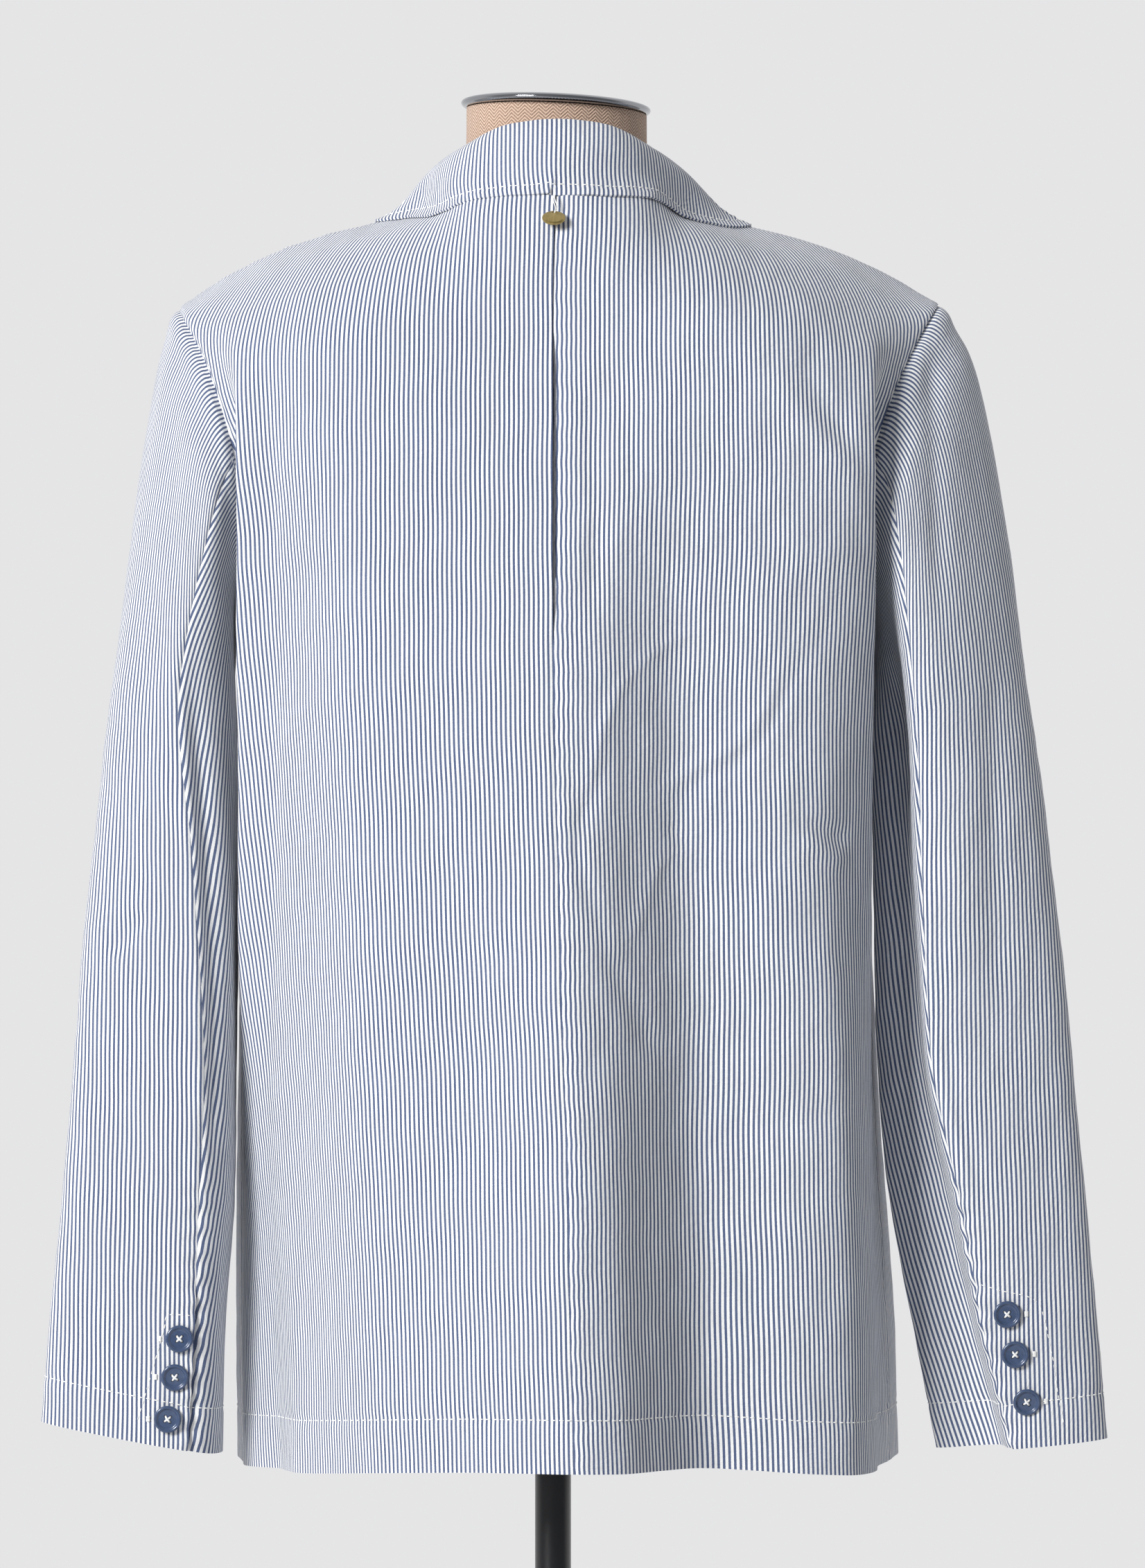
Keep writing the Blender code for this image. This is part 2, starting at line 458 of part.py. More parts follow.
def wall(name, outer, inner, finish_values=STRIPED_CLOTH):
    """A closed wall of cloth between two grids of the same shape. Each cell is split on
    its shorter diagonal, the same one on both faces, so that the wall stays even."""
    rows, columns = outer.shape[:2]
    number = np.arange(rows * columns).reshape(rows, columns)
    points = outer.reshape(-1, 3)
    faces = []
    for i, j in np.ndindex(rows - 1, columns - 1):
        a, b, c, d = (int(v) for v in (number[i, j], number[i, j + 1], number[i + 1, j + 1], number[i + 1, j]))
        if np.linalg.norm(points[a] - points[c]) < np.linalg.norm(points[b] - points[d]):
            halves = ((a, b, c), (a, c, d))
        else:
            halves = ((a, b, d), (b, c, d))
        for half in halves:
            faces.append(half)
            faces.append([v + rows * columns for v in half[::-1]])
    rim = [*number[0], *number[1:, -1], *number[-1, -2::-1], *number[-2:0:-1, 0]]
    for a, b in zip(rim, rim[1:] + rim[:1]):
        faces.append([int(b), int(a), int(a) + rows * columns, int(b) + rows * columns])
    mesh = bpy.data.meshes.new(name)
    mesh.from_pydata(np.concatenate([outer.reshape(-1, 3), inner.reshape(-1, 3)]).tolist(), [], faces)
    tidy = bmesh.new()
    tidy.from_mesh(mesh)
    bmesh.ops.recalc_face_normals(tidy, faces=tidy.faces)
    tidy.to_mesh(mesh)
    tidy.free()
    return finish(name, mesh, finish_values)


def tree_of(grid):
    """A search tree over a grid's faces."""
    rows, columns = grid.shape[:2]
    number = np.arange(rows * columns).reshape(rows, columns)
    quads = [[int(v) for v in (number[i, j], number[i, j + 1], number[i + 1, j + 1], number[i + 1, j])]
             for i in range(rows - 1) for j in range(columns - 1)]
    return BVHTree.FromPolygons([Vector(p) for p in grid.reshape(-1, 3)], quads)


def seen_from(tree, x, z, side):
    """The point and normal of a panel at (x, z), seen from behind (-1) or in front (1)."""
    point, normal, _, _ = tree.ray_cast(Vector((x, side, z)), Vector((0, -side, 0)))
    return point, normal if normal.y * side > 0 else -normal


def lifted(points, trees, height):
    """The points, with those that lie lower than height over the panels raised to it."""
    raised = points.copy()
    for k, p in enumerate(points):
        near = min((tree.find_nearest(Vector(p)) for tree in trees), key=lambda hit: hit[3])
        spot, normal = near[0], near[1]
        if normal.dot(spot - Vector((0, 0, 1.1))) < 0:
            normal = -normal
        low = height - (Vector(p) - spot).dot(normal)
        if low > 0:
            raised[k] += np.array(normal) * low
    return raised


def lapel(name, front, mirror, first):
    """A lapel that lies on its front, from the roll line out to the edge and the notch.
    It starts at the place "first" along its table."""
    tree = tree_of(front)
    rows = np.linspace(first, len(LAPEL_ROLL) - 1, LAPEL_ROWS + 1)
    roll, edge = through(LAPEL_ROLL, rows), through(LAPEL_EDGE, rows)
    outer = np.zeros((len(rows), LAPEL_COLUMNS + 1, 3))
    inner = outer.copy()
    for i, j in np.ndindex(outer.shape[:2]):
        f = j / LAPEL_COLUMNS
        x, z = roll[i] * (1 - f) + edge[i] * f
        point, normal = seen_from(tree, mirror * x, z, 1)
        lift = LAPEL_GAP + LAPEL_BULGE * math.sin(math.pi * f) ** 2
        inner[i, j] = point + normal * lift
        outer[i, j] = point + normal * (lift + CLOTH)
    return wall(name, outer, inner)


def collar(trees):
    """The collar, one folded wall: it stands up from the neckline and falls over itself.
    Its thickness is laid off in each section's own upright plane."""
    lines = []
    for table in (COLLAR_SEAM, COLLAR_FOLD):
        left = [(-x, y, z) for x, y, z in table[:0:-1]]
        whole = np.array([*left, *table]) + (NECK_X, 0, 0)
        lines.append(through(whole, even_steps(len(whole), COLLAR_STEPS)))
    whole = (*COLLAR_EDGE_LEFT[::-1], COLLAR_EDGE_MIDDLE, *COLLAR_EDGE_RIGHT)
    edge = through(whole, even_steps(len(whole), COLLAR_STEPS))
    seam, fold = lines
    out = (edge - fold) * (1, 1, 0)
    out /= np.linalg.norm(out, axis=1, keepdims=True)
    up = np.array([0, 0, 1.0])
    over = fold + out * COLLAR_ROLL
    columns = [seam, seam * 0.5 + fold * 0.5 - out * 0.001, fold - out * COLLAR_ROLL - up * 0.006,
               fold - out * COLLAR_ROLL * 0.72 - up * 0.0016, fold,
               fold + out * COLLAR_ROLL * 0.72 - up * 0.0016]
    for f in (0.16, 0.38, 0.68, 1.0):
        bow = out * 0.7 + up * 0.7
        point = over * (1 - f) + edge * f + bow * COLLAR_BULGE * math.sin(math.pi * f)
        columns.append(lifted(point, trees, CLOTH + COLLAR_GAP))
    grid = np.stack(columns, axis=1)
    along = np.gradient(grid, axis=1)
    run, rise = (along * out[:, None]).sum(axis=2, keepdims=True), along[:, :, 2:3]
    normal = (run * up - rise * out[:, None]) / np.hypot(run, rise)
    return wall("collar", grid, grid - normal * CLOTH)


def button(name, diameter, point, normal):
    """A four-hole button with a raised rim, its back just off the cloth."""
    radius = diameter / 2
    profile = ((0, 0), (0.62, 0), (0.92, 0.25), (1.0, 0.62), (0.95, 0.93), (0.86, 1.0),
               (0.76, 0.80), (0.70, 0.62), (0, 0.62))
    mesh = bpy.data.meshes.new(name)
    mesh.from_pydata([(r * radius, 0, h * BUTTON_THICK) for r, h in profile], [], [])
    shape = bmesh.new()
    shape.from_mesh(mesh)
    shape.verts.ensure_lookup_table()
    line = [shape.edges.new(shape.verts[k:k + 2]) for k in range(len(profile) - 1)]
    bmesh.ops.spin(shape, geom=list(shape.verts) + line, cent=(0, 0, 0), axis=(0, 0, 1),
                   angle=2 * math.pi, steps=BUTTON_SIDES, use_merge=True, use_duplicate=False)
    bmesh.ops.remove_doubles(shape, verts=shape.verts, dist=1e-6)
    bmesh.ops.recalc_face_normals(shape, faces=shape.faces)
    shape.to_mesh(mesh)
    shape.free()
    thing = finish(name, mesh, BUTTON_BLUE)
    thing.location = point + normal * LAYER_GAP
    thing.rotation_mode = "QUATERNION"
    thing.rotation_quaternion = normal.to_track_quat("Z", "Y")
    holes = []
    for k in range(4):
        turn = math.radians(45 + 90 * k)
        bpy.ops.mesh.primitive_cylinder_add(
            vertices=6, radius=radius * 0.115, depth=BUTTON_THICK * 3,
            location=(radius * 0.27 * math.cos(turn), radius * 0.27 * math.sin(turn), 0))
        hole = bpy.context.object
        hole.name = f"{name}_hole_{k}"
        hole.parent = thing
        hole.hide_render = True
        hole.display_type = "WIRE"
        for holder in list(hole.users_collection):
            holder.objects.unlink(hole)
        CUTTERS.objects.link(hole)
        cut = thing.modifiers.new(hole.name, "BOOLEAN")
        cut.object = hole
        cut.solver = "EXACT"
        holes.append(hole)
    return thing


def turned(name, profile, sides, finish_values, location=(0, 0, 0), tilt=None):
    """A turned solid: a profile of (radius, height) from the top down, with Screw. A
    profile that doesn't start on the axis is closed, for a ring."""
    mesh = bpy.data.meshes.new(name)
    edges = [(k, k + 1) for k in range(len(profile) - 1)]
    if profile[0][0] > 0:
        edges.append((len(profile) - 1, 0))
    mesh.from_pydata([(r, 0, h) for r, h in profile], edges, [])
    thing = finish(name, mesh, finish_values, smooth=False)
    screw = thing.modifiers.new("turn", "SCREW")
    screw.axis = "Z"
    screw.steps = screw.render_steps = sides
    screw.use_merge_vertices = True
    screw.merge_threshold = 1e-5
    thing.location = location
    if tilt:
        thing.rotation_euler = tilt
    return thing


def form_body():
    """The dress form: rings of a rounded section from the hips to the top of the neck."""
    points = []
    turn = np.arange(FORM_SIDES) * 2 * math.pi / FORM_SIDES
    c, s = np.cos(turn), np.sin(turn)
    top = FORM_ROWS[-1][0]

    def reach(way, half_width, back, front, roundness):
        """How far a rounded section reaches along each of the unit directions."""
        depth = np.where(s < 0, -back, front)
        parts = (np.abs(way[0]) / half_width) ** roundness + (np.abs(way[1]) / depth) ** roundness
        return parts ** (-1 / roundness)

    for z, *section in FORM_ROWS:
        half_width, back, front, _ = section
        way = np.stack([half_width * c, np.where(s < 0, -back, front) * s])
        way /= np.linalg.norm(way, axis=0)
        far = reach(way, *section)
        if z > FORM_NECK_FROM:
            far = np.maximum(far, reach(way, *FORM_NECK))
        x, y = way * far
        near_top = max(0.0, (z - 1.33) / (top - 1.33))
        middle = NECK_X * min(1.0, max(0.0, (z - 1.28) / 0.05))
        lean = -x * math.tan(math.radians(NECK_TILT)) * near_top
        points.append(np.stack([x + middle, y, z + lean], axis=1))
    points = np.concatenate(points)
    rings, n = len(FORM_ROWS), FORM_SIDES
    faces = [[k * n + j, k * n + (j + 1) % n, (k + 1) * n + (j + 1) % n, (k + 1) * n + j]
             for k in range(rings - 1) for j in range(n)]
    faces += [list(range(n))[::-1], [(rings - 1) * n + j for j in range(n)]]
    mesh = bpy.data.meshes.new("form_body")
    mesh.from_pydata(points.tolist(), [], faces)
    return finish("form_body", mesh, LINEN)


def stand():
    """The chrome cap on the neck, the flange, the pole and the round base."""
    neck_top = FORM_ROWS[-1][0]
    cap = [(0, CAP_THICK + 0.003), (CAP_RADIUS * 0.6, CAP_THICK + 0.002), (CAP_RADIUS - 0.003, CAP_THICK),
           (CAP_RADIUS - 0.0006, CAP_THICK - 0.001), (CAP_RADIUS, CAP_THICK * 0.5),
           (CAP_RADIUS - 0.0006, 0.001), (CAP_RADIUS - 0.002, 0), (0, 0)]
    turned("neck_cap", cap, 40, CHROME, (NECK_X - 0.0005, -0.0015, neck_top + FIT_GAP),
           (0, math.radians(NECK_TILT), 0))
    bottom = FORM_ROWS[0][0]
    turned("flange", [(0, 0), (FLANGE_RADIUS - 0.001, 0), (FLANGE_RADIUS, -0.001),
                      (FLANGE_RADIUS, -FLANGE_THICK), (0, -FLANGE_THICK)], 32, BLACK_METAL,
           (0, 0, bottom - FIT_GAP))
    pole_top = bottom - FLANGE_THICK - 2 * FIT_GAP
    pole_bottom = BASE_THICK + FIT_GAP
    turned("pole", [(0, pole_top), (POLE_RADIUS, pole_top), (POLE_RADIUS, pole_bottom), (0, pole_bottom)],
           28, BLACK_METAL)
    turned("boss", [(POLE_RADIUS + FIT_GAP, BOSS_HEIGHT), (BOSS_RADIUS - 0.004, BOSS_HEIGHT),
                    (BOSS_RADIUS, BOSS_HEIGHT - 0.006), (BOSS_RADIUS, BASE_THICK + FIT_GAP),
                    (POLE_RADIUS + FIT_GAP, BASE_THICK + FIT_GAP)], 32, BLACK_METAL)
    turned("base", [(0, BASE_THICK), (BASE_RADIUS - 0.012, BASE_THICK), (BASE_RADIUS - 0.003, BASE_THICK - 0.003),
                    (BASE_RADIUS, BASE_THICK - 0.007), (BASE_RADIUS, 0), (0, 0)], 48, BLACK_METAL)


def garment():
    """The panels of cloth, then the pieces and buttons that lie on them."""
    back_left, back_right = back_grids()
    front_left = front_grid(FRONT_LEFT, back_left[:, 0], ARMHOLE_LEFT, SHOULDER_LEFT)
    front_right = front_grid(FRONT_RIGHT, back_right[:, -1], ARMHOLE_RIGHT, SHOULDER_RIGHT)
    panels = {"back_left": back_left, "back_right": back_right,
              "front_left": front_left, "front_right": front_right}
    normals = {name: outward(grid, (0, 0)) for name, grid in panels.items()}
    seams = {"back_left": ("first", "last", "top"), "back_right": ("first", "last", "top"),
             "front_left": ("first", "top"), "front_right": ("first", "top")}
    for side, *tables in (("left", SLEEVE_LEFT, ARMHOLE_LEFT, HEAD_LEFT),
                          ("right", SLEEVE_RIGHT, ARMHOLE_RIGHT, HEAD_RIGHT)):
        whole = sleeve_grid(*tables)
        middle = whole[-1].mean(axis=0)
        normal = outward(whole, middle[:2])
        back_at, front_at = BACK_SEAM * STEPS, FRONT_SEAM * STEPS
        top_columns = np.r_[front_at:RING * STEPS, 0:back_at + 1]
        under_columns = np.arange(back_at, front_at + 1)
        for part, columns in (("upper_sleeve", top_columns), ("under_sleeve", under_columns)):
            name = f"{part}_{side}"
            panels[name] = whole[:, columns]
            normals[name] = normal[:, columns]
            seams[name] = ("bottom", "first", "last")
    moves = mitres(panels, normals)
    for name, grid in panels.items():
        outer = trim(grid, moves[name], seams[name])
        wall(name, outer, outer - moves[name] * CLOTH)

    lapel("lapel_left", front_left, -1, LAPEL_START_LEFT)
    lapel("lapel_right", front_right, 1, 0)
    collar([tree_of(panels[name]) for name in ("back_left", "back_right", "front_left", "front_right")])

    for side, places in (("left", SLEEVE_BUTTONS_LEFT), ("right", SLEEVE_BUTTONS_RIGHT)):
        tree = tree_of(panels[f"upper_sleeve_{side}"])
        for number, (x, z) in enumerate(places, 1):
            button(f"cuff_button_{side}_{number}", SLEEVE_BUTTON, *seen_from(tree, x, z, -1))
    tree = tree_of(front_right)
    for number, (x, z) in enumerate(FRONT_BUTTONS, 1):
        button(f"front_button_{number}", FRONT_BUTTON, *seen_from(tree, x, z, 1))

    radius, half = DISC_DIAMETER / 2, DISC_THICK / 2
    turned("metal_disc", [(0, half), (radius - 0.0006, half), (radius, half - 0.0005),
                          (radius, 0.0005 - half), (radius - 0.0006, -half), (0, -half)], 24, BRASS,
           DISC_PLACE, (math.radians(90 - DISC_TILT), 0, 0))


for old in list(bpy.data.objects):
    bpy.data.objects.remove(old)
PARTS = bpy.data.collections.new("blazer_on_form")
CUTTERS = bpy.data.collections.new("cutters")
for collection in (PARTS, CUTTERS):
    bpy.context.scene.collection.children.link(collection)
garment()
form_body()
stand()
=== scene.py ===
# %% [markdown]
# # A striped summer blazer, worn by a dress form
#
# We dress a plain CAD model of a blazer on a dress form. The solids give the cut and
# the size. This script gives what the eye sees first: the blue and white stripes, the
# rumpled seersucker, the folds, the sewing, the buttons and the form's woven cover.

import math

import bmesh
import bpy
import numpy as np
from mathutils import Matrix, Vector
from mathutils.bvhtree import BVHTree


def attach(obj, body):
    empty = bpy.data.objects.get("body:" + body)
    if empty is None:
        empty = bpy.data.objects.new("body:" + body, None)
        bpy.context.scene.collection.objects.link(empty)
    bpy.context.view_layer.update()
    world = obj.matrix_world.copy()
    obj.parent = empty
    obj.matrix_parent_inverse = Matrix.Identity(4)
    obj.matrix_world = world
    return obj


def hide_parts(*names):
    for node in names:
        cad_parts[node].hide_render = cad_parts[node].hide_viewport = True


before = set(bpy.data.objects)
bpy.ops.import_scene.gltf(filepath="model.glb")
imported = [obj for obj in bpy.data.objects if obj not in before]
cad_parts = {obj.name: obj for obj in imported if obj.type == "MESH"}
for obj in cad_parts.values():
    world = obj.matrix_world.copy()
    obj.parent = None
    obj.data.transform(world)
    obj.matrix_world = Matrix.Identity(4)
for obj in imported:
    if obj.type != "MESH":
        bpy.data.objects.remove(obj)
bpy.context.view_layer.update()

# %% [markdown]
# ## Camera, floor and light
#
# A garment seen from far away through a long lens keeps its true proportions, so the
# camera stands more than three metres off. One large soft light from the upper left
# draws the folds. The world is a pale studio wall behind the garment and a dimmer room
# in front of it, so that the sides of a fold that turn from the light fall into shade.

# %% The camera and the studio
def put_in_scene(name, data):
    """A new object with this data, linked into the scene."""
    thing = bpy.data.objects.new(name, data)
    bpy.context.scene.collection.objects.link(thing)
    return thing


CAMERA_LENS = 136.4     # mm, on a sensor 36 mm wide
CAMERA_PLACE = (0.0108, -3.3, 1.0)
camera = put_in_scene("camera", bpy.data.cameras.new("camera"))
camera.data.lens = CAMERA_LENS
camera.data.sensor_width = 36
camera.location = CAMERA_PLACE
camera.rotation_euler = (math.radians(90), 0, 0)
bpy.context.scene.camera = camera


def linear(text):
    """An sRGB hex colour as linear light: divide by 12.92 near black, or else the curve
    ((c + 0.055) / 1.055) to the power 2.4."""
    values = [int(text[k:k + 2], 16) / 255 for k in (1, 3, 5)]
    return (*[v / 12.92 if v <= 0.04045 else ((v + 0.055) / 1.055) ** 2.4 for v in values], 1.0)


def soft_light(name, place, aim, size, watts, colour):
    """A square area light at a place, turned to face a point."""
    lamp = bpy.data.lights.new(name, "AREA")
    lamp.size = size
    lamp.energy = watts
    lamp.color = linear(colour)[:3]
    thing = put_in_scene(name, lamp)
    thing.location = place
    thing.rotation_euler = (Vector(aim) - Vector(place)).to_track_quat("-Z", "Y").to_euler()


print("camera is in place")

# %% [markdown]
# ## Small tools for materials
#
# A Blender material is a net of nodes. One function adds a node, sets its values and
# links its inputs. A few short ones give the sums, mixes and patterns that most finishes
# need, so that each finish below reads as a list of steps.


# %% Nodes and materials
def node(material, kind, settings=None, **inputs):
    """Adds a node of a kind. Settings are its own options, and inputs are values or the
    outputs of other nodes, by socket name or by _number."""
    made = material.node_tree.nodes.new("ShaderNode" + kind)
    for key, value in (settings or {}).items():
        setattr(made, key, value)
    for key, value in inputs.items():
        plug = made.inputs[int(key[1:])] if key[0] == "_" else made.inputs[key.replace("_", " ")]
        if isinstance(value, bpy.types.NodeSocket):
            material.node_tree.links.new(value, plug)
        else:
            plug.default_value = value
    return made


def new_material(name, roughness, **settings):
    """A material with its Principled shader's own constants set on its sockets."""
    material = bpy.data.materials.new(name)
    material.use_nodes = True
    shader = material.node_tree.nodes["Principled BSDF"]
    shader.inputs["Roughness"].default_value = roughness
    for key, value in settings.items():
        shader.inputs[key.replace("_", " ")].default_value = value
    return material


def wire(material, output, socket):
    """Links a node's output to a socket of the Principled shader."""
    shader = material.node_tree.nodes["Principled BSDF"]
    material.node_tree.links.new(output, shader.inputs[socket])


def sums(material, operation, *values):
    """The result of a sum of a kind, such as MULTIPLY, on values or outputs."""
    inputs = {f"_{k}": value for k, value in enumerate(values)}
    return node(material, "Math", {"operation": operation}, **inputs).outputs[0]


def mixed(material, share, one, other):
    """One colour where the share is 0, the other where it is 1."""
    return node(material, "Mix", {"data_type": "RGBA"}, Factor=share, _6=one, _7=other).outputs[2]


def noise(material, where, dimensions, **inputs):
    """The value of a noise pattern, 2D or 3D, at the coordinates where."""
    return node(material, "TexNoise", {"noise_dimensions": dimensions}, Vector=where, **inputs).outputs["Fac"]


def ranged(material, value, start=0.0, end=1.0, low=0.0, high=1.0, steps="LINEAR"):
    """The value, moved from the range start to end into the range low to high."""
    made = node(material, "MapRange", {"interpolation_type": steps}, Value=value, From_Min=start,
                From_Max=end, To_Min=low, To_Max=high)
    return made.outputs["Result"]


def bumped(material, height, strength, distance):
    """Wires a height as bump to the material's shader."""
    made = node(material, "Bump", Strength=strength, Distance=distance, Height=height)
    wire(material, made.outputs["Normal"], "Normal")


def own_place(material):
    """Coordinates that belong to the object itself."""
    return node(material, "TexCoord").outputs["Object"]


FLOOR_RADIUS = 2.6
FLOOR_SIDES = 96
FLOOR_DROP = 0.0002     # it lies just under the stand's base
floor_turn = np.linspace(0, 2 * math.pi, FLOOR_SIDES + 1)[:-1]
floor_ring = np.stack([FLOOR_RADIUS * np.cos(floor_turn), FLOOR_RADIUS * np.sin(floor_turn),
                       0 * floor_turn - FLOOR_DROP], axis=1)
floor_mesh = bpy.data.meshes.new("floor")
floor_mesh.from_pydata(floor_ring.tolist(), [], [list(range(FLOOR_SIDES))])
floor = put_in_scene("floor", floor_mesh)
# A matt painted floor: it gives a soft pale ground and no mirror image.
floor_paint = new_material("matt_floor_paint", 0.9, Base_Color=linear("#C9C9CA"))
floor_mesh.materials.append(floor_paint)
print("floor radius", FLOOR_RADIUS, "m")

# The studio: pale in the directions behind the garment, dimmer in front, dimmest on the
# right. The direction of a ray in the room decides it, never the place of the camera.
world = bpy.data.worlds.new("pale_studio")
world.use_nodes = True
bpy.context.scene.world = world
direction = node(world, "SeparateXYZ", _0=node(world, "TexCoord").outputs["Generated"])
behind = ranged(world, direction.outputs[1], -0.30, 0.25, steps="SMOOTHSTEP")
leftward = ranged(world, direction.outputs[0], 0.5, -0.9, steps="SMOOTHSTEP")
room = mixed(world, leftward, linear("#85878A"), linear("#A2A3A5"))
studio = mixed(world, behind, room, linear("#E5E5E6"))
world.node_tree.links.new(studio, world.node_tree.nodes["Background"].inputs["Color"])
soft_light("key", (-2.4, -3.1, 2.4), (0, 0, 1.0), 1.3, 185, "#FFFFFF")
bpy.context.scene.view_settings.view_transform = "Standard"
print("the studio is lit")

# %% [markdown]
# ## Curves and surfaces from a few points
#
# A pattern cutter describes a panel by a few measures at a few levels. We do the same:
# each row of a table is one level, and a smooth curve runs through its points. The
# curve is a cubic whose slopes come from the chords, so it never overshoots much.


# %% Smooth curves
def through(points, places):
    """The smooth curve through points, at places that count them from 0. Each stretch is
    a cubic Hermite curve, and its slopes weigh the two chords by the root of their
    length. Points may be rows of a grid, and then each column gets its own curve."""
    points = np.asarray(points, float)
    length = np.linalg.norm(np.diff(points, axis=0), axis=-1, keepdims=True)
    step = np.sqrt(np.maximum(length, 1e-5))
    chord = np.diff(points, axis=0) / step
    inner = (chord[:-1] * step[1:] + chord[1:] * step[:-1]) / (step[:-1] + step[1:])
    slope = np.concatenate([chord[:1], inner, chord[-1:]])
    places = np.asarray(places, float)
    k = np.clip(places.astype(int), 0, len(points) - 2)
    f = (places - k).reshape(-1, *[1] * (points.ndim - 1))
    return ((2 * f**3 - 3 * f**2 + 1) * points[k] + (f**3 - 2 * f**2 + f) * step[k] * slope[k]
            + (3 * f**2 - 2 * f**3) * points[k + 1] + (f**3 - f**2) * step[k] * slope[k + 1])


def round_through(points, places):
    """The same for a closed ring of points."""
    points = np.asarray(points, float)
    return through(np.concatenate([points[-3:], points, points[:4]]), np.asarray(places, float) + 3)


def surface(rows, row_places, column_places):
    """A grid on the smooth surface through rows of points: curves across, then up."""
    across = through(np.asarray(rows, float).transpose(1, 0, 2), column_places)
    return through(across.transpose(1, 0, 2), row_places)


def refine(grid, rows, columns, closed=False):
    """Splits each cell into rows x columns smaller ones, on smooth curves through the
    grid's own points. A closed grid's curves run on over its first and last column."""
    fine = through(grid, np.linspace(0, len(grid) - 1, (len(grid) - 1) * rows + 1))
    across = fine.transpose(1, 0, 2)
    places = np.linspace(0, len(across) - 1, (len(across) - 1) * columns + 1)
    if closed:
        across = np.concatenate([across[-4:-1], across, across[1:4]])
        places = places + 3
    return through(across, places).transpose(1, 0, 2)


def soft_step(t):
    """0 below 0 and 1 above 1, with a smooth cubic between: 3t squared less 2t cubed."""
    t = np.clip(t, 0, 1)
    return t * t * (3 - 2 * t)


def bell(distance, width):
    """A soft bump that is 1 at distance 0: e to the power minus (distance / width)
    squared."""
    return np.exp(-(distance / width) ** 2)


def grid_quads(rows, columns):
    """The faces of a grid, with its points numbered row by row."""
    number = np.arange(rows * columns).reshape(rows, columns)
    corners = [number[:-1, :-1], number[:-1, 1:], number[1:, 1:], number[1:, :-1]]
    return np.stack(corners, axis=-1).reshape(-1, 4)


def ring_quads(rings, sides, start=0):
    """The faces between rings of points, each closed round, numbered from start."""
    number = np.arange(rings * sides).reshape(rings, sides) + start
    after = np.roll(number, -1, axis=1)
    return np.stack([number[:-1], after[:-1], after[1:], number[1:]], axis=-1).reshape(-1, 4)


def pull(grid, edge, reach):
    """Moves the grid's first row onto the edge, and the next rows by less and less."""
    share = (1 - np.arange(reach) / reach) ** 2
    grid[:reach] += (edge - grid[0]) * share[:, None, None]


print("curve tools are ready")

# %% [markdown]
# ## The cut of the back
#
# The back is two panels, joined at the centre back seam. Each row below is a level of
# the garment, from the hem to the shoulder, as the CAD model has it: its height in the
# middle and at the side, then its points as (x, y). The cloth turns round the body at
# its side fold, and the tuck behind that leads to the side seam.

# %% The back's levels
BACK_LEFT = (
    (0.634, 0.622, (0.012, -0.150), (-0.042, -0.131), (-0.100, -0.100), (-0.138, -0.070),
     (-0.150, -0.038), (-0.163, -0.020), (-0.171, -0.004), (-0.173, 0.012)),
    (0.700, 0.702, (0.010, -0.146), (-0.045, -0.127), (-0.104, -0.097), (-0.140, -0.064),
     (-0.153, -0.036), (-0.166, -0.014), (-0.172, 0.000), (-0.174, 0.012)),
    (0.790, 0.790, (0.008, -0.139), (-0.046, -0.121), (-0.108, -0.095), (-0.142, -0.064),
     (-0.156, -0.040), (-0.170, -0.014), (-0.171, 0.002), (-0.174, 0.012)),
    (0.880, 0.880, (0.005, -0.129), (-0.046, -0.114), (-0.104, -0.098), (-0.139, -0.070),
     (-0.154, -0.050), (-0.172, -0.034), (-0.168, -0.014), (-0.173, 0.008)),
    (0.960, 0.960, (0.003, -0.121), (-0.052, -0.112), (-0.102, -0.099), (-0.134, -0.076),
     (-0.150, -0.059), (-0.172, -0.048), (-0.165, -0.026), (-0.172, 0.003)),
    (1.040, 1.040, (0.001, -0.114), (-0.058, -0.109), (-0.104, -0.100), (-0.132, -0.083),
     (-0.148, -0.067), (-0.172, -0.058), (-0.164, -0.036), (-0.171, 0.002)),
    (1.110, 1.110, (0.000, -0.109), (-0.060, -0.107), (-0.107, -0.100), (-0.132, -0.084),
     (-0.148, -0.071), (-0.172, -0.065), (-0.164, -0.042), (-0.170, 0.006)),
    (1.150, 1.134, (0.000, -0.106), (-0.060, -0.106), (-0.110, -0.100), (-0.134, -0.087),
     (-0.149, -0.074), (-0.172, -0.069), (-0.163, -0.052), (-0.168, -0.034)),
    (1.200, 1.180, (0.000, -0.101), (-0.060, -0.102), (-0.112, -0.098), (-0.137, -0.090),
     (-0.152, -0.080), (-0.172, -0.075), (-0.165, -0.064), (-0.174, -0.057)),
    (1.262, 1.228, (0.000, -0.094), (-0.062, -0.093), (-0.108, -0.090), (-0.136, -0.084),
     (-0.155, -0.076), (-0.172, -0.069), (-0.180, -0.058), (-0.190, -0.046)),
    (1.306, 1.250, (0.001, -0.083), (-0.066, -0.067), (-0.104, -0.057), (-0.132, -0.051),
     (-0.154, -0.045), (-0.173, -0.039), (-0.187, -0.033), (-0.200, -0.027)),
)
